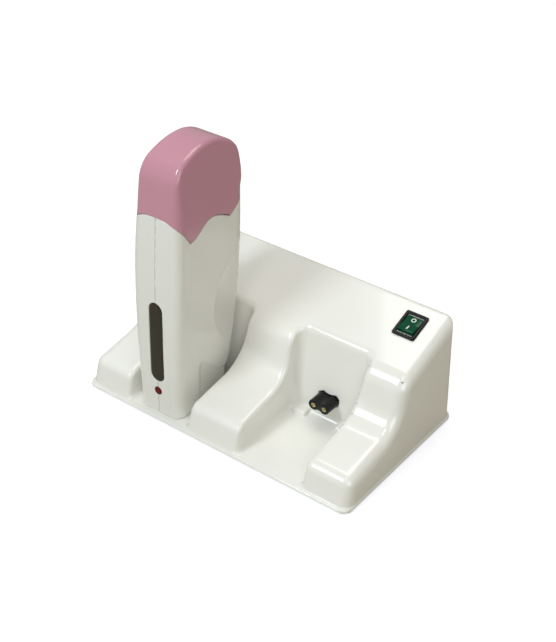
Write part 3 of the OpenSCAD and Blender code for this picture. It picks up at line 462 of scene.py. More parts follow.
@dataclass(frozen=True)
class HandpieceShape:
    """Outer shape of the handpiece and its cap, in mm, with x counted from its own middle."""

    stand: StandShape = StandShape()
    height: float = 238.0
    width: float = 49.6
    setback: float = 5.7
    wall: float = 2.4
    neck: float = 27.4
    waist: float = 44.0
    foot_run: float = 27.5
    front_lean: float = 9.3
    rear_run: float = 91.3
    rear_bulge: float = 15.5
    cap_front: float = 184.0
    cap_corner: float = 164.8
    cap_side: float = 175.4
    cap_rear: float = 167.2
    edge_level: float = 170.0
    heel_height: float = 47.6
    heel_fall: float = 38.7
    neck_top: float = 27.0
    grip_run: float = 35.8
    grip_height: float = 31.4
    grip_rise: float = 58.0
    edge_radius: float = 4.5
    hollow_radius: float = 1.2
    petal_depth: float = 1.3
    slip: float = 0.3

    @property
    def front_face(self) -> float:
        """Front face at its foot."""
        return self.stand.front + self.setback

    @property
    def heel_start(self) -> float:
        """Rear end of the foot, where the heel begins."""
        return self.front_face + self.foot_run

    def half_width(self, z: Array) -> Array:
        """Half the width at a height: widest at 130 mm, less towards the foot and the crown."""
        share = (z - 130) / 125
        return self.width / 2 - np.where(share < 0, 3.3, 11.4) * share**2

    def front(self, z: Array) -> Array:
        """Front face at a height, leaning back more and more."""
        return self.front_face + self.front_lean * (np.maximum(z, 0) / 210) ** 2.8

    def rear(self, z: Array) -> Array:
        """Rear face at a height, drawn in towards the foot."""
        return self.front_face + self.rear_run - self.rear_bulge * (np.maximum(210 - z, 0) / 175) ** 2.2

    def profile(self, y: Array, z: Array) -> Array:
        """Distance to the side view: front face, front slope, crown, rear slope and rear face."""
        crown = self.front_face + 36.5
        shape = both(self.front(z) - y, above(y, z, crown - 15.7, self.height - 9, 36.3), 9)
        shape = both(shape, z - self.height + 2.5, 11.3)
        shape = both(shape, above(y, z, crown + 38.1, self.height + 1, -60), 22.4)
        return both(shape, y - self.rear(z), 16.4)

    def side_radius(self, y: Array, z: Array) -> Array:
        """Radius between the sides and the profile: small in front and on top, large at the rear."""
        rear = np.clip((y - self.heel_start) / 40, 0, 1)
        top = np.clip((z - 185) / 35, 0, 1)
        return (8.5 + 8.5 * rear) * (1 - top) + 4 * top

    def lower(self, x: Array, y: Array, z: Array) -> Array:
        """Distance to the parts that stay near the table: the foot, the waist, the neck and the heel."""
        start = self.heel_start
        heel = both(-above(y, z, start, self.heel_height, -self.heel_fall), self.neck_top - z, 5)
        heel = both(heel, -above(y, z, start + self.grip_run, self.grip_height, self.grip_rise), 5)
        waist = both(abs(x) - self.waist / 2, y - self.stand.back + self.stand.ledge_run + 3, 4)
        return either(either(either(heel, y - start, 4), waist, 3), abs(x) - self.neck / 2, 3)

    def grips(self, x: Array, y: Array, z: Array) -> Array:
        """Distance to the two hollows for the fingers, which are flat ellipsoids."""
        across = (abs(x) - self.width / 2 - 9.4) / 14
        along = (y - self.front_face - 85) / 54
        return 14 * (np.sqrt(across**2 + along**2 + ((z - 84.5) / 62) ** 2) - 1)

    def petals(self, x: Array, y: Array, z: Array) -> Array:
        """Depth of the shallow oval on each side, which falls off quickly from its rim."""
        share = ((y - self.front_face - 70) / 61) ** 2 + ((z - 117) / 78) ** 2
        side = np.clip((abs(x) - 12) / 8, 0, 1)
        return self.petal_depth * (1 - np.minimum(share, 1) ** 2) * side**2 * (3 - 2 * side)

    def solid(self, x: Array, y: Array, z: Array) -> Array:
        """Distance to the handpiece and its cap as one solid."""
        upright = both(self.profile(y, z), abs(x) - self.half_width(z), self.side_radius(y, z))
        whole = both(upright, self.lower(x, y, z), self.edge_radius)
        return without(whole, self.grips(x, y, z), self.hollow_radius) + self.petals(x, y, z)

    def scallop(self, share: Array) -> Array:
        """Height of the cap's edge, by the share of the half outline from front middle to rear middle.

        Formula: three arcs, from the front apex down to a corner tip, up to a side peak and down to
        a rear tip, and from there up to the middle of the rear.
        """
        front = self.cap_front - (self.cap_front - self.cap_corner) * (share / 0.27) ** 3
        wave = (1 + np.cos(math.pi * (0.5 - share) / 0.23)) / 2
        side = self.cap_corner + (self.cap_side - self.cap_corner) * wave
        fall = self.cap_side - (self.cap_side - self.cap_rear) * (np.maximum(share - 0.5, 0) / 0.19) ** 1.5
        rear = self.cap_rear + (self.cap_front - 3 - self.cap_rear) * (1 - (np.maximum(1 - share, 0) / 0.31) ** 1.8)
        return np.where(share < 0.27, front, np.where(share < 0.5, side, np.where(share < 0.69, fall, rear)))

    def middle(self, z: Array) -> Array:
        """Middle of the section at a height, from which its whole outline can be seen."""
        return self.front_face + 20 + 24 * np.clip((z - 45) / 155, 0, 1)

    def plain_outline(self, z: float, corner: int = 16, side: int = 24) -> Array:
        """Half outline from front middle to rear middle, with round corners, as points (x, y)."""
        width, front, rear = float(self.half_width(z)), float(self.front(z)), float(self.rear(z))
        turn = np.linspace(0, math.pi / 2, corner + 1)
        first = np.stack([width - 8 + 8 * np.sin(turn), front + 8 - 8 * np.cos(turn)], 1)
        last = np.stack([width - 17 + 17 * np.cos(turn), rear - 17 + 17 * np.sin(turn)], 1)
        flat = np.stack([np.linspace(0, width - 8, 8, endpoint=False), np.full(8, front)], 1)
        along = np.stack([np.full(side, width), np.linspace(front + 8, rear - 17, side + 2)[1:-1]], 1)
        back = np.stack([np.linspace(width - 17, 0, 6)[1:], np.full(5, rear)], 1)
        return np.concatenate([flat, first, along, last, back])

    def edge_height(self, x: Array, y: Array) -> Array:
        """Height of the cap's edge in the direction of a place, seen from the section's middle."""
        line = self.plain_outline(self.edge_level)
        run = np.concatenate([[0], np.cumsum(np.hypot(*np.diff(line, axis=0).T))])
        centre = float(self.middle(self.edge_level))
        known = np.arctan2(line[:, 0], centre - line[:, 1])
        angle = np.arctan2(abs(x), centre - y)
        return self.scallop(np.interp(angle, known, run / run[-1]))


# ---------------------------------------------------------------- finishes

def node(tree: bpy.types.NodeTree, kind: str, place: tuple[float, float], **values: object) -> bpy.types.Node:
    """Adds a node to a tree and sets its properties and sockets.

    Args:
        tree: the node tree.
        kind: the node's type name.
        place: where the node is drawn.
        values: properties by name, or socket values by the socket's name with underscores.

    Returns:
        The new node.
    """
    made = tree.nodes.new(kind)
    made.location = place
    for name, value in values.items():
        if hasattr(made, name):
            setattr(made, name, value)
        else:
            made.inputs[name.replace("_", " ")].default_value = value
    return made


def moulded_group() -> bpy.types.NodeTree:
    """Shader group for moulded plastic: a faint change of tone, wiped patches and a soft ripple.

    Returns:
        The group, with inputs Colour, Tone, Roughness, Wiping, Ripple and Size.
    """
    name = "moulded plastic"
    if name in bpy.data.node_groups:
        return bpy.data.node_groups[name]
    tree = bpy.data.node_groups.new(name, "ShaderNodeTree")
    for socket, kind, value in (("Colour", "NodeSocketColor", (0.8, 0.8, 0.8, 1)), ("Tone", "NodeSocketFloat", 0.02),
                                ("Roughness", "NodeSocketFloat", 0.2), ("Wiping", "NodeSocketFloat", 0.05),
                                ("Ripple", "NodeSocketFloat", 0.1), ("Size", "NodeSocketFloat", 1.0)):
        tree.interface.new_socket(socket, in_out="INPUT", socket_type=kind).default_value = value
    for socket, kind in (("Colour", "NodeSocketColor"), ("Roughness", "NodeSocketFloat"),
                         ("Normal", "NodeSocketVector")):
        tree.interface.new_socket(socket, in_out="OUTPUT", socket_type=kind)
    into = node(tree, "NodeGroupInput", (-900, 0))
    out = node(tree, "NodeGroupOutput", (700, 0))
    place = node(tree, "ShaderNodeTexCoord", (-900, -300))
    scaled = node(tree, "ShaderNodeVectorMath", (-700, -300), operation="SCALE")
    cloud = node(tree, "ShaderNodeTexNoise", (-500, 200), Scale=14.0, Detail=3.0)
    wipe = node(tree, "ShaderNodeTexNoise", (-500, -100), Scale=60.0, Detail=5.0, Distortion=1.5)
    ripple = node(tree, "ShaderNodeTexNoise", (-500, -400), Scale=160.0, Detail=2.0)
    tone = node(tree, "ShaderNodeMapRange", (-250, 200))
    tint = node(tree, "ShaderNodeHueSaturation", (100, 200))
    low = node(tree, "ShaderNodeMath", (-450, 420), operation="SUBTRACT")
    low.inputs[0].default_value = 1.0
    high = node(tree, "ShaderNodeMath", (-450, 580), operation="ADD")
    high.inputs[0].default_value = 1.0
    centred = node(tree, "ShaderNodeMath", (-250, -100), operation="SUBTRACT")
    centred.inputs[1].default_value = 0.5
    rough = node(tree, "ShaderNodeMath", (100, -100), operation="MULTIPLY_ADD", use_clamp=True)
    bump = node(tree, "ShaderNodeBump", (400, -400), Distance=0.0004)
    link = tree.links.new
    link(place.outputs["Object"], scaled.inputs[0])
    link(into.outputs["Size"], scaled.inputs["Scale"])
    for texture in (cloud, wipe, ripple):
        link(scaled.outputs[0], texture.inputs["Vector"])
    link(into.outputs["Tone"], low.inputs[1])
    link(into.outputs["Tone"], high.inputs[1])
    link(cloud.outputs["Fac"], tone.inputs["Value"])
    link(low.outputs[0], tone.inputs["To Min"])
    link(high.outputs[0], tone.inputs["To Max"])
    link(tone.outputs["Result"], tint.inputs["Value"])
    link(into.outputs["Colour"], tint.inputs["Color"])
    link(wipe.outputs["Fac"], centred.inputs[0])
    link(centred.outputs[0], rough.inputs[0])
    link(into.outputs["Wiping"], rough.inputs[1])
    link(into.outputs["Roughness"], rough.inputs[2])
    link(into.outputs["Ripple"], bump.inputs["Strength"])
    link(ripple.outputs["Fac"], bump.inputs["Height"])
    link(tint.outputs["Color"], out.inputs["Colour"])
    link(rough.outputs[0], out.inputs["Roughness"])
    link(bump.outputs["Normal"], out.inputs["Normal"])
    return tree


def start_material(name: str, values: dict[str, object]) -> tuple[bpy.types.Material, bpy.types.Node]:
    """Makes a material whose colour, roughness and normal come from the shared group.

    Args:
        name: name of the material.
        values: the group's inputs by name.

    Returns:
        The material and its Principled BSDF.
    """
    made = bpy.data.materials.new(name)
    made.use_nodes = True
    tree = made.node_tree
    shader = tree.nodes["Principled BSDF"]
    group = node(tree, "ShaderNodeGroup", (-350, 200))
    group.node_tree = moulded_group()
    for socket, value in values.items():
        group.inputs[socket].default_value = value
    for output, socket in (("Colour", "Base Color"), ("Roughness", "Roughness"), ("Normal", "Normal")):
        tree.links.new(group.outputs[output], shader.inputs[socket])
    return made, shader


@dataclass(frozen=True)
class Plastic:
    """A moulded plastic, glossy or matte. Colours are linear, and the sizes are shares."""

    name: str
    colour: tuple[float, float, float]
    roughness: float = 0.2
    coat: float = 0.0
    tone: float = 0.02
    wiping: float = 0.08
    ripple: float = 0.05
    size: float = 1.0
    clearness: float = 0.0
    index: float = 1.5

    def material(self) -> bpy.types.Material:
        """Builds the material, or returns it if it is there already."""
        if self.name in bpy.data.materials:
            return bpy.data.materials[self.name]
        made, shader = start_material(self.name, {
            "Colour": (*self.colour, 1), "Tone": self.tone, "Roughness": self.roughness,
            "Wiping": self.wiping, "Ripple": self.ripple, "Size": self.size})
        shader.inputs["Coat Weight"].default_value = self.coat
        shader.inputs["Coat Roughness"].default_value = 0.04
        shader.inputs["Transmission Weight"].default_value = self.clearness
        shader.inputs["IOR"].default_value = self.index
        return made


@dataclass(frozen=True)
class Metal:
    """A plain metal with faint wiped patches. Colours are linear, and the sizes are shares."""

    name: str
    colour: tuple[float, float, float]
    roughness: float = 0.3
    grain: float = 0.25
    tone: float = 0.06
    ripple: float = 0.15
    size: float = 5.0

    def material(self) -> bpy.types.Material:
        """Builds the material, or returns it if it is there already."""
        if self.name in bpy.data.materials:
            return bpy.data.materials[self.name]
        made, shader = start_material(self.name, {
            "Colour": (*self.colour, 1), "Tone": self.tone, "Roughness": self.roughness,
            "Wiping": self.grain, "Ripple": self.ripple, "Size": self.size})
        shader.inputs["Metallic"].default_value = 1.0
        return made


class Finish(Enum):
    """The object's finishes, by the name of the record's material slot."""

    white_gloss = Plastic("warm white moulding", (0.84, 0.825, 0.775), 0.16, 0.4)
    white_shell = Plastic("white shell moulding", (0.81, 0.80, 0.755), 0.16, 0.4)
    pink_gloss = Plastic("dusty pink moulding", (0.56, 0.268, 0.342), 0.16, 0.1)
    black_gloss = Plastic("black moulding", (0.005, 0.005, 0.005), 0.25, 0.0, 0.1, index=1.3)
    black_matte = Plastic("black nylon", (0.014, 0.014, 0.014), 0.45, 0.0, 0.1)
    green_gloss = Plastic("dark green moulding", (0.001, 0.068, 0.026), 0.07, 0.0, 0.15, index=1.3)
    inner_white = Plastic("matte white moulding", (0.72, 0.71, 0.67), 0.38)
    roller_white = Plastic("roller moulding", (0.80, 0.80, 0.77), 0.22)
    nylon = Plastic("plain nylon", (0.76, 0.75, 0.69), 0.42)
    red_lens = Plastic("clear red lens", (0.12, 0.001, 0.003), 0.08, 0.0, 0.1, index=1.35)
    # Opaque dark amber pane: its colour is a smoked tint plus painted shade of the wax cartridge behind it.
    smoked_window = Plastic("smoked window", (0.016, 0.012, 0.003), 0.06, 0.0, 0.15)
    wire_cover = Plastic("wire cover", (0.26, 0.035, 0.02), 0.4)
    black_rubber = Plastic("black rubber", (0.016, 0.016, 0.016), 0.6, 0.0, 0.1, 0.1, 0.3)
    bottle_plastic = Plastic("bottle plastic", (0.72, 0.62, 0.42), 0.25, 0.2)
    wax = Plastic("honey wax", (0.45, 0.19, 0.02), 0.3, 0.2, 0.1)
    lamp_glass = Plastic("lamp glass", (0.6, 0.6, 0.55), 0.1, 0.5)
    heater_ceramic = Plastic("heater plate", (0.52, 0.45, 0.34), 0.5)
    zinc_steel = Metal("zinc-plated sheet", (0.60, 0.61, 0.63), 0.38)
    spring_steel = Metal("spring steel", (0.50, 0.52, 0.54), 0.3)
    screw_steel = Metal("zinc-plated screws", (0.52, 0.52, 0.54), 0.32)
    tin_plate = Metal("tin plate", (0.66, 0.66, 0.62), 0.28)
    # Brass darkened far below real brass: painted shade for the contacts deep inside the plugs' bores.
    brass = Metal("brass", (0.13, 0.085, 0.03), 0.5)
    nickel = Metal("nickel plate", (0.70, 0.68, 0.64), 0.18)
    aluminium = Metal("drawn aluminium", (0.66, 0.67, 0.68), 0.3)
    thermostat_steel = Metal("pressed steel", (0.50, 0.50, 0.50), 0.35)
    fuse_case = Metal("fuse case", (0.55, 0.50, 0.36), 0.3)


def dress(piece: bpy.types.Object, finish: Finish, body: str, *replaced: str) -> bpy.types.Object:
    """Gives a new piece its material, its body and the CAD nodes that it stands for.

    Args:
        piece: the new object.
        finish: its finish, which names the record's slot too.
        body: the body that it moves with.
        replaced: the CAD nodes that it stands for.

    Returns:
        The same object.
    """
    piece.data.materials.clear()
    piece.data.materials.append(finish.value.material())
    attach(piece, body)
    if replaced:
        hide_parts(*replaced)
    LOG.info("%s: %d faces", piece.name, len(piece.data.polygons))
    return piece


# ---------------------------------------------------------------- the stand

@dataclass(frozen=True)
class Stand:
    """The stand's shell, and its two docking plugs."""

    shape: StandShape = StandShape()
    cell: float = 1.6
    wall: float = 3.0
    pin_pitch: float = 10.2
    lobe: float = 9.4
    plug_dip: float = 1.2
    plug_notch: float = 1.6
    plug_reach: float = 13.6
    plug_tail: float = 16.0
    contact_radius: float = 1.87
    plug_cell: float = 0.42
    slip: float = 0.3

    def plug_section(self, x: Array, z: Array) -> Array:
        """Distance to a plug's section: two round lobes joined by a thinner bridge."""
        lobes = np.hypot(abs(x) - self.pin_pitch / 2, z) - self.lobe / 2
        top, bottom = self.lobe / 2 - self.plug_dip, self.lobe / 2 - self.plug_notch
        bridge = np.maximum(abs(x) - self.pin_pitch / 2, np.maximum(z - top, -z - bottom))
        return either(lobes, bridge, 0.8)

    def openings(self, x: Array, y: Array, z: Array) -> Array:
        """Distance to the holes for the plugs and the mains inlet."""
        shape = self.shape
        plugs = np.maximum(self.plug_section(abs(x) - shape.bay, z - shape.plug_height) - self.slip,
                           np.maximum(shape.back - 16 - y, y - shape.back - 25))
        low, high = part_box("mains_inlet")
        inlet = np.maximum(np.maximum(abs(x - 500 * (low.x + high.x)) - 12.3, abs(z - 500 * (low.z + high.z)) - 8.8),
                           shape.rear - 15 - y)
        return np.minimum(plugs, inlet)

    def shell(self, x: Array, y: Array, z: Array) -> Array:
        """Distance to the shell: the solid without its inside, its openings and all below its foot."""
        shape = self.shape
        solid = shape.solid(x, y, z)
        hollow = without(solid, solid + self.wall, 0.1)
        return both(without(hollow, self.openings(x, y, z), 0.3), shape.foot_lift - z, 0.4)

    def build_shell(self) -> None:
        """Makes the shell as a level surface, with the exact normals of its distance."""
        shape = self.shape
        low = (-shape.width / 2 - 2, shape.front - 2, -2)
        high = (shape.width / 2 + 2, shape.rear + 2, shape.height + 2)
        points, faces = level_surface(self.shell, low, high, self.cell)
        piece = make_piece("stand_shell", points, faces, gradient(self.shell, points))
        dress(piece, Finish.white_gloss, "stand", "base_shell")

    def plug(self, x: Array, y: Array, z: Array) -> Array:
        """Distance to the right plug, with a bore for the contact in each lobe."""
        shape = self.shape
        across, up = x - shape.bay, z - shape.plug_height
        face = shape.back - self.plug_reach
        ends = np.maximum(face - y, y - face - self.plug_reach - self.plug_tail)
        bores = np.hypot(abs(across) - self.pin_pitch / 2, up) - self.contact_radius
        return without(both(self.plug_section(across, up), ends, 0.8), bores, 0.25)

    def build_plug(self, side: int) -> None:
        """Makes one docking plug as a level surface.

        Args:
            side: -1 for the left plug, 1 for the right plug.
        """
        shape = self.shape
        word = "left" if side < 0 else "right"
        half = (self.pin_pitch + self.lobe) / 2 + 1
        low = (shape.bay - half, shape.back - self.plug_reach - 1, shape.plug_height - self.lobe / 2 - 1)
        high = (shape.bay + half, shape.back + self.plug_tail + 1, shape.plug_height + self.lobe / 2 + 1)
        points, faces = level_surface(self.plug, low, high, self.plug_cell)
        normals = gradient(self.plug, points)
        points[:, 0] += (side - 1) * shape.bay
        piece = make_piece(f"{word}_plug", points, faces, normals)
        dress(piece, Finish.black_gloss, "stand", f"{word}_dock_plug")

    def build(self) -> None:
        """Makes the shell and both plugs."""
        self.build_shell()
        self.build_plug(-1)
        self.build_plug(1)


@dataclass(frozen=True)
class Switch:
    """The mains switch: a bezel with its housing, and a rocker with two marks."""

    stand: StandShape = StandShape()
    across: float = 101.7
    run: float = 27.8
    width: float = 20.4
    length: float = 25.0
    rim: float = 2.0
    lip: float = 2.7
    housing: float = 15.0
    pivot: float = -2.5
    travel: float = 20.0
    rise: float = 4.6

    def place(self) -> Matrix:
        """Frame on the sloping top: x across, y up the slope and z out of it."""
        y = self.stand.rear - self.run
        place = Matrix.Translation((self.across, y, self.stand.top(y)))
        return place @ Matrix.Rotation(math.radians(self.stand.top_slope), 4, "X")

    def build_bezel(self) -> None:
        """Makes the bezel: one outline taken up outside, over the rim and down into the well."""
        outer = [(1.5, -self.housing), (1.5, 0.03), (0.0, 0.03)]
        rim = [(0.0, 1.2), (0.15, 1.6), (0.5, 1.9), (0.9, self.rim), (2.1, self.rim), (2.45, 1.85), (self.lip, 1.5)]
        well = [(self.lip, self.pivot - 7)]
        outline = rectangle(self.width, self.length, 1.5, 128)
        piece = loft("switch_frame", outline, outer + rim + well, self.place())
        dress(piece, Finish.black_gloss, "stand", "switch_bezel")

    def rocker_section(self, y: Array, z: Array) -> Array:
        """Distance to the rocker's side view: two flat wings that meet in a shallow valley."""
        half = self.length / 2 - self.lip - 1.1
        dip = half * math.tan(math.radians(self.travel / 2))
        slope = math.degrees(math.atan2(dip - 0.9, half))
        top = np.maximum(above(abs(y), z, 0, self.rise - 0.6, slope), 0 * z - 9)
        under = -above(abs(y), z, 3, -5, math.degrees(math.atan2(3, half - 3)))
        return both(both(top, abs(y) - half, 0.8), np.maximum(under, -5 - z), 0.5)

    def rocker_frame(self) -> Matrix:
        """Frame of the rocker at rest, with its rear wing pressed."""
        return self.place() @ Matrix.Translation((0, 0, self.pivot)) @ Matrix.Rotation(
            math.radians(-self.travel / 2), 4, "X")

    def build_rocker(self) -> None:
        """Makes the rocker as its side view carried across, with round ends."""
        half = self.width / 2 - self.lip - 0.3
        outline = ray_outline(lambda x, y, z: self.rocker_section(x, y), 160)
        sideways = Matrix(((0, 0, 1, 0), (1, 0, 0, 0), (0, 1, 0, 0), (0, 0, 0, 1)))
        place = self.rocker_frame() @ sideways
        piece = loft("rocker", outline, rounded_ends(-half, half, 0.5), place)
        dress(piece, Finish.green_gloss, "rocker", "switch_rocker")

    def build_marks(self) -> None:
        """Makes the white ring and bar on the rocker's wings, set in its surface."""
        half = self.length / 2 - self.lip - 1.1
        dip = half * math.tan(math.radians(self.travel / 2))
        slope = math.atan2(dip - 0.9, half)
        for name, sign, outline in (("mark_ring", 1, disc(2.1)), ("mark_bar", -1, rectangle(1.1, 4.0, 0.2))):
            middle = sign * half * 0.52
            height = self.rise - 0.6 + abs(middle) * math.tan(slope)
            place = self.rocker_frame() @ Matrix.Translation((0, middle, height))
            place = place @ Matrix.Rotation(sign * slope, 4, "X")
            if sign > 0:
                rings = [(0.0, -0.3), (0.0, 0.04), (0.08, 0.07), (0.72, 0.07), (0.8, 0.04), (0.8, -0.3), (0.0, -0.3)]
                points = np.stack([outline(inset) + [0, 0, height] for inset, height in rings])
                turn, shift = np.array(place.to_3x3()), np.array(place.translation)
                faces = grid_faces(*points.shape[:2])
                piece = tidy_mesh(make_piece(name, points.reshape(-1, 3) @ turn.T + shift, faces))
            else:
                piece = loft(name, outline, rounded_ends(-0.3, 0.07, 0.05), place)
            dress(piece, Finish.roller_white, "rocker")

    def build(self) -> None:
        """Makes the bezel, the rocker and its marks."""
        self.build_bezel()
        self.build_rocker()
        self.build_marks()


# ---------------------------------------------------------------- the handpiece

@dataclass(frozen=True)
class Handpiece:
    """The handpiece: two half shells, the window, the lamp and the cap."""

    shape: HandpieceShape = HandpieceShape()
    cell: float = 0.9
    window_width: float = 13.7
    window_low: float = 36.4
    window_high: float = 110.2
    window_depth: float = 1.1
    lamp_diameter: float = 7.0
    lamp_height: float = 26.4
    seam: float = 0.015
    neck_gap: float = 0.9
    screw_places: tuple[tuple[float, float], ...] = ((14, 17), (46, 52), (75, 72), (80, 142))

    @property
    def middle(self) -> float:
        """Place of the handpiece's middle plane."""
        return -self.shape.stand.bay

    def window(self, x: Array, z: Array) -> Array:
        """Distance to the window's upright outline, with half round ends."""
        end = self.window_width / 2
        return np.hypot(x, z - np.clip(z, self.window_low + end, self.window_high - end)) - end

    def openings(self, x: Array, y: Array, z: Array) -> Array:
        """Distance to the holes for the window, the lamp, the plug and the screws' heads."""
        shape = self.shape
        near = y - shape.front(z)
        window = np.maximum(self.window(x, z) - 0.1, near - 12)
        lamp = np.maximum(np.hypot(x, z - self.lamp_height) - self.lamp_diameter / 2 - 0.1, near - 8)
        stand = Stand()
        plug = np.maximum(stand.plug_section(x, z - stand.shape.plug_height) - 0.6, shape.front_face + 50 - y)
        out = np.minimum(np.minimum(window, lamp), plug)
        for run, height in self.screw_places:
            hole = np.hypot(y - shape.front_face - run, z - height) - 2.9
            out = np.minimum(out, np.maximum(hole, x + 9))
        return out

    def half_shell(self, side: int) -> Distance:
        """Distance to one half shell, with x counted from the handpiece's middle.

        Args:
            side: -1 for the left half, 1 for the right half.

        Returns:
            The distance, as a function of x, y and z.
        """
        shape = self.shape
        stand = shape.stand

        def distance(x: Array, y: Array, z: Array) -> Array:
            solid = shape.solid(x, y, z)
            floor = -above(y, z, stand.arm, stand.flange_height + shape.slip, stand.floor_slope)
            hollow = both(both(solid, floor, 0.8), -both(solid + shape.wall, floor + shape.wall, 0.5), 0.1)
            trimmed = both(hollow, (z - shape.edge_height(x, y)) * 0.85, 0.45)
            step = stand.back - stand.ledge_run - 3
            below = np.maximum(z - stand.floor(stand.back) - self.neck_gap, step - y)
            trimmed = np.maximum(trimmed, -below)
            return both(without(trimmed, self.openings(x, y, z), 0.6), self.seam / 2 - side * x, 0.05)

        return distance

    def build_shell(self, side: int) -> None:
        """Makes one half shell as a level surface.

        Args:
            side: -1 for the left half, 1 for the right half.
        """
        shape = self.shape
        word = "left" if side < 0 else "right"
        distance = self.half_shell(side)
        span = sorted((-side * 1.5, side * (shape.width / 2 + 1.5)))
        low = (span[0], shape.front_face - 2, 2)
        high = (span[1], shape.front_face + shape.rear_run + 3, shape.cap_front + 2)
        points, faces = level_surface(distance, low, high, self.cell)
        normals = gradient(distance, points)
        skin = (abs(points[:, 0]) < self.cell) & (abs(shape.solid(*points.T)) < 0.05)
        normals[skin] = gradient(shape.solid, points[skin])
        points[:, 0] += self.middle
        piece = make_piece(f"{word}_half", points, faces, normals)
        dress(piece, Finish.white_shell, "handpiece", f"{word}_shell")

    def build_cap(self, columns: int = 220, side_rows: int = 44, crown_rows: int = 46) -> None:
        """Makes the cap: rings from the crown down to its edge, round it, and up the inside.

        Formula: above 200 mm the rays fan out from one point, and below they run level. Each ring
        below lies at an even share of the way down to the cap's edge in its own direction.

        Args:
            columns: points in a ring.
            side_rows: rings between 200 mm and the edge.
            crown_rows: rings above 200 mm.
        """
        shape = self.shape
        start = 200.0
        half = shape.plain_outline(start, 20, 34)
        whole = np.concatenate([half, half[-2:0:-1] * [-1, 1]])
        run = np.concatenate([[0], np.cumsum(np.hypot(*np.diff(np.vstack([whole, whole[:1]]), axis=0).T))])
        want = np.arange(columns) / columns * run[-1]
        closed = np.vstack([whole, whole[:1]])
        aim = np.stack([np.interp(want, run, closed[:, k]) for k in (0, 1)], 1)

        def level_ring(z: Array, depth: float) -> Array:
            centre = shape.middle(z)
            flat = np.stack([aim[:, 0], aim[:, 1] - centre], 1)
            flat /= np.linalg.norm(flat, axis=1, keepdims=True)
            origin = np.stack([np.zeros(columns), centre + 0 * z, z], 1)
            direction = np.concatenate([flat, np.zeros((columns, 1))], 1)
            return reach(shape.solid, origin, direction, depth)

        def crown_ring(tilt: float, depth: float) -> Array:
            centre = float(shape.middle(start))
            flat = np.stack([aim[:, 0], aim[:, 1] - centre], 1)
            flat /= np.linalg.norm(flat, axis=1, keepdims=True)
            direction = np.concatenate([flat * math.cos(tilt), np.full((columns, 1), math.sin(tilt))], 1)
            origin = np.tile([0.0, centre, start], (columns, 1))
            return reach(shape.solid, origin, direction, depth)

        def edge_ring(lift: float, depth: float) -> Array:
            z = np.full(columns, shape.cap_side)
            for _ in range(6):
                ring = level_ring(z, depth)
                z = shape.edge_height(ring[:, 0], ring[:, 1]) + lift
            return level_ring(z, depth)

        def wall_rings(depth: float, lift: float) -> list[Array]:
            crown = [crown_ring(math.pi / 2 * (1 - k / crown_rows), depth) for k in range(1, crown_rows)]
            edge = edge_ring(lift, depth)[:, 2]
            side = [level_ring(start + (edge - start) * k / side_rows, depth) for k in range(side_rows + 1)]
            return crown + side

        r = 0.45
        gap = shape.slip
        outer = wall_rings(0.0, gap + r)
        turn = [math.pi / 2 * k / 4 for k in range(1, 5)]
        lip = [edge_ring(gap + r * (1 - math.sin(a)), r * (1 - math.cos(a))) for a in turn]
        lip += [edge_ring(gap + r * (1 - math.cos(a)), shape.wall - r * (1 - math.sin(a))) for a in turn]
        inner = wall_rings(shape.wall, gap + r)[::-1][1:]
        rings = np.stack(outer + lip + inner)
        points, faces = close_rings(rings)
        normals = self.cap_normals(points, len(outer) * columns, (len(outer) + len(lip)) * columns)
        points[:, 0] += self.middle
        piece = make_piece("cap_moulding", points, [f[::-1] for f in faces], normals)
        dress(piece, Finish.pink_gloss, "cap", "cap")

    def cap_normals(self, points: Array, outer: int, inner: int) -> Array:
        """Normals of the cap: the gradient outside, its opposite inside, and a turn over the lip.

        Args:
            points: the cap's points, ring by ring, and then the outer and the inner pole.
            outer: number of points on the outer surface.
            inner: number of points before the inner surface begins.

        Returns:
            An array of unit normals.
        """
        slope = gradient(self.shape.solid, points)
        slope /= np.linalg.norm(slope, axis=1, keepdims=True)
        sign = np.ones(len(points))
        sign[inner:-2] = -1
        sign[-1] = -1
        out = slope * sign[:, None]
        columns = 220
        lip = (inner - outer) // columns
        for k in range(lip):
            turn = math.pi * (k + 1) / (lip + 1)
            rows = slice(outer + k * columns, outer + (k + 1) * columns)
            out[rows] = slope[rows] * math.cos(turn) + np.array([0, 0, -math.sin(turn)])
        return out

    def build_window(self) -> None:
        """Makes the window pane, with a round edge, a little under the shell's surface."""
        shape = self.shape
        low, high = self.window_low, self.window_high
        tilt = math.atan((shape.front(high) - shape.front(low)) / (high - low))
        middle, half = (low + high) / 2, (high - low) / 2
        end = self.window_width / 2

        def section(x: Array, y: Array, z: Array) -> Array:
            return np.hypot(x, y - np.clip(y, -half + end, half - end)) - end

        place = Matrix.Translation((self.middle, float(shape.front(middle)) - 0.6, middle))
        place = place @ Matrix.Rotation(math.pi / 2 - tilt, 4, "X")
        outline = ray_outline(section, 200)
        top = -self.window_depth
        sections = [(-1.9, top - 2.2), (-1.9, top - 0.85), (0.0, top - 0.85), (0.0, top - 0.35), (0.12, top - 0.15),
                    (0.4, top), (2.0, top + 0.1), (4.0, top + 0.15)]
        piece = loft("window_pane", outline, sections, place)
        dress(piece, Finish.smoked_window, "handpiece", "window_lens")

    def build_lamp(self) -> None:
        """Makes the lamp's lens: a short barrel with a domed end."""
        shape = self.shape
        radius = self.lamp_diameter / 2
        face = float(shape.front(self.lamp_height))
        place = Matrix.Translation((self.middle, face, self.lamp_height)) @ Matrix.Rotation(math.pi / 2, 4, "X")
        dome = [(radius * (1 - math.cos(a)), 0.35 * math.sin(a)) for a in np.linspace(0, 1.4, 8)]
        piece = loft("lamp_dome", disc(radius), [(0.3, -5.0), (0.0, -4.7), *dome], place)
        dress(piece, Finish.red_lens, "handpiece", "lamp_lens")

    def build(self) -> None:
        """Makes both half shells, the cap, the window and the lamp."""
        self.build_shell(-1)
        self.build_shell(1)
        self.build_cap()
        self.build_window()
        self.build_lamp()


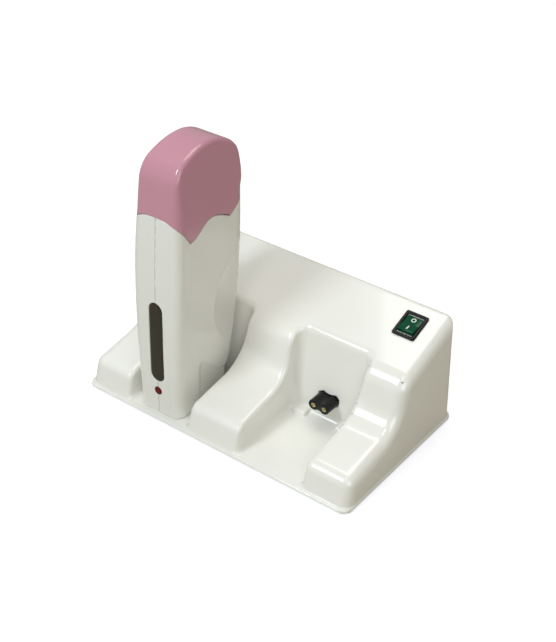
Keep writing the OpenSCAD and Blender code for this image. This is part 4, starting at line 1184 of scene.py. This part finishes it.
# ---------------------------------------------------------------- what stays from the CAD model

def dress_nodes() -> None:
    """Gives every CAD node that still shows the finish of its slot in the record."""
    slots = {row["node"]: row["material_slot"] for row in frame["record"]["subparts"]}
    for name, piece in frame["nodes"].items():
        if piece.hide_render:
            continue
        material = Finish[slots[name]].value.material()
        for slot in piece.material_slots:
            slot.material = material
        if not piece.material_slots:
            piece.data.materials.append(material)


# ---------------------------------------------------------------- studio

@dataclass(frozen=True)
class Camera:
    """The photograph's camera. Angles are in degrees and lengths in mm."""

    azimuth: float = 36.72
    elevation: float = 34.29
    roll: float = 0.85
    target: tuple[float, float, float] = (-64.70, 99.29, 0.0)
    distance: float = 1154.6
    lens: float = 70.79

    def build(self) -> None:
        """Makes the camera and turns it to the target."""
        a, e, r = (math.radians(v) for v in (self.azimuth, self.elevation, self.roll))
        back = Vector((math.sin(a) * math.cos(e), -math.cos(a) * math.cos(e), math.sin(e)))
        right = Vector((math.cos(a), math.sin(a), 0))
        up = back.cross(right)
        turned = right * math.cos(r) + up * math.sin(r), up * math.cos(r) - right * math.sin(r), back
        data = bpy.data.cameras.new("camera")
        data.lens = self.lens
        data.sensor_width = 36
        camera = bpy.data.objects.new("camera", data)
        camera.matrix_world = Matrix.Translation((Vector(self.target) + back * self.distance) * MM) @ Matrix(
            turned).transposed().to_4x4()
        bpy.context.scene.collection.objects.link(camera)
        bpy.context.scene.camera = camera


@dataclass(frozen=True)
class Lamp:
    """A rectangular studio lamp, in metres and watts, turned to the object."""

    name: str
    place: tuple[float, float, float]
    size: tuple[float, float]
    power: float
    colour: tuple[float, float, float] = (1, 1, 1)

    def build(self) -> None:
        """Makes the lamp."""
        data = bpy.data.lights.new(self.name, "AREA")
        data.shape = "RECTANGLE"
        data.size, data.size_y = self.size
        data.energy = self.power
        data.color = self.colour
        lamp = bpy.data.objects.new(self.name, data)
        lamp.location = self.place
        aim = Vector((0, 0, 0.08)) - Vector(self.place)
        lamp.rotation_euler = aim.to_track_quat("-Z", "Y").to_euler()
        bpy.context.scene.collection.objects.link(lamp)


@dataclass(frozen=True)
class Studio:
    """Sand-coloured floor that shows white, white surroundings and soft lamps from the front, side and top."""

    lamps: tuple[Lamp, ...] = (
        Lamp("key", (-0.7, -1.5, 1.6), (0.55, 0.55), 17.5, (0.86, 0.96, 1.0)),
        Lamp("top", (-0.2, 0.5, 2.0), (1.2, 0.8), 11.5, (1.0, 0.98, 0.94)),
        Lamp("fill", (1.5, -1.5, 1.3), (1.2, 1.2), 15, (0.92, 0.98, 1.0)),
        Lamp("strip_a", (0.05, -0.75, 1.65), (0.05, 0.6), 1.2),
        Lamp("strip_b", (0.20, -0.75, 1.65), (0.05, 0.6), 1.2),
    )
    left: tuple[float, float, float] = (0.44, 0.47, 0.49)
    right: tuple[float, float, float] = (0.24, 0.21, 0.155)
    floor: tuple[float, float, float] = (0.50, 0.46, 0.38)
    glow: tuple[float, float, float] = (0.66, 0.69, 0.76)

    def build_floor(self) -> None:
        """Makes the floor, whose glow makes it white to the camera alone, with the object's shadow kept."""
        mesh = bpy.data.meshes.new("floor")
        reach_out = 6.0
        corners = [(x * reach_out, y * reach_out, 0) for x, y in ((-1, -1), (1, -1), (1, 1), (-1, 1))]
        mesh.from_pydata(corners, [], [(0, 1, 2, 3)])
        floor = bpy.data.objects.new("floor", mesh)
        bpy.context.scene.collection.objects.link(floor)
        material = bpy.data.materials.new("pale floor")
        material.use_nodes = True
        tree = material.node_tree
        shader = tree.nodes["Principled BSDF"]
        shader.inputs["Base Color"].default_value = (*self.floor, 1)
        shader.inputs["Roughness"].default_value = 0.7
        path = node(tree, "ShaderNodeLightPath", (-400, -300))
        shader.inputs["Emission Color"].default_value = (*self.glow, 1)
        tree.links.new(path.outputs["Is Camera Ray"], shader.inputs["Emission Strength"])
        mesh.materials.append(material)

    def build_world(self) -> None:
        """Makes the surroundings: soft light that warms to the right, and white where the camera sees them."""
        world = bpy.data.worlds.new("surroundings")
        bpy.context.scene.world = world
        world.use_nodes = True
        tree = world.node_tree
        place = node(tree, "ShaderNodeTexCoord", (-1000, 0))
        split = node(tree, "ShaderNodeSeparateXYZ", (-800, 0))
        across = node(tree, "ShaderNodeMapRange", (-600, 0), From_Min=-1.0, From_Max=1.0)
        light = node(tree, "ShaderNodeMix", (-400, 0), data_type="RGBA")
        light.inputs[6].default_value = (*self.left, 1)
        light.inputs[7].default_value = (*self.right, 1)
        path = node(tree, "ShaderNodeLightPath", (-400, 300))
        seen = node(tree, "ShaderNodeMix", (-200, 0), data_type="RGBA")
        seen.inputs[7].default_value = (1, 1, 1, 1)
        link = tree.links.new
        link(place.outputs["Generated"], split.inputs[0])
        link(split.outputs["X"], across.inputs["Value"])
        link(across.outputs["Result"], light.inputs[0])
        link(light.outputs[2], seen.inputs[6])
        link(path.outputs["Is Camera Ray"], seen.inputs[0])
        link(seen.outputs[2], tree.nodes["Background"].inputs["Color"])

    def build(self) -> None:
        """Makes the floor, the surroundings and the lamps."""
        self.build_floor()
        self.build_world()
        for lamp in self.lamps:
            lamp.build()


def main() -> None:
    """Builds the camera, the studio and every piece."""
    logging.basicConfig(level=logging.INFO, format="%(name)s: %(message)s")
    bpy.context.scene.view_settings.view_transform = "Standard"
    Camera().build()
    Studio().build()
    Stand().build()
    Switch().build()
    Handpiece().build()
    dress_nodes()


if __name__ == "__main__":
    main()
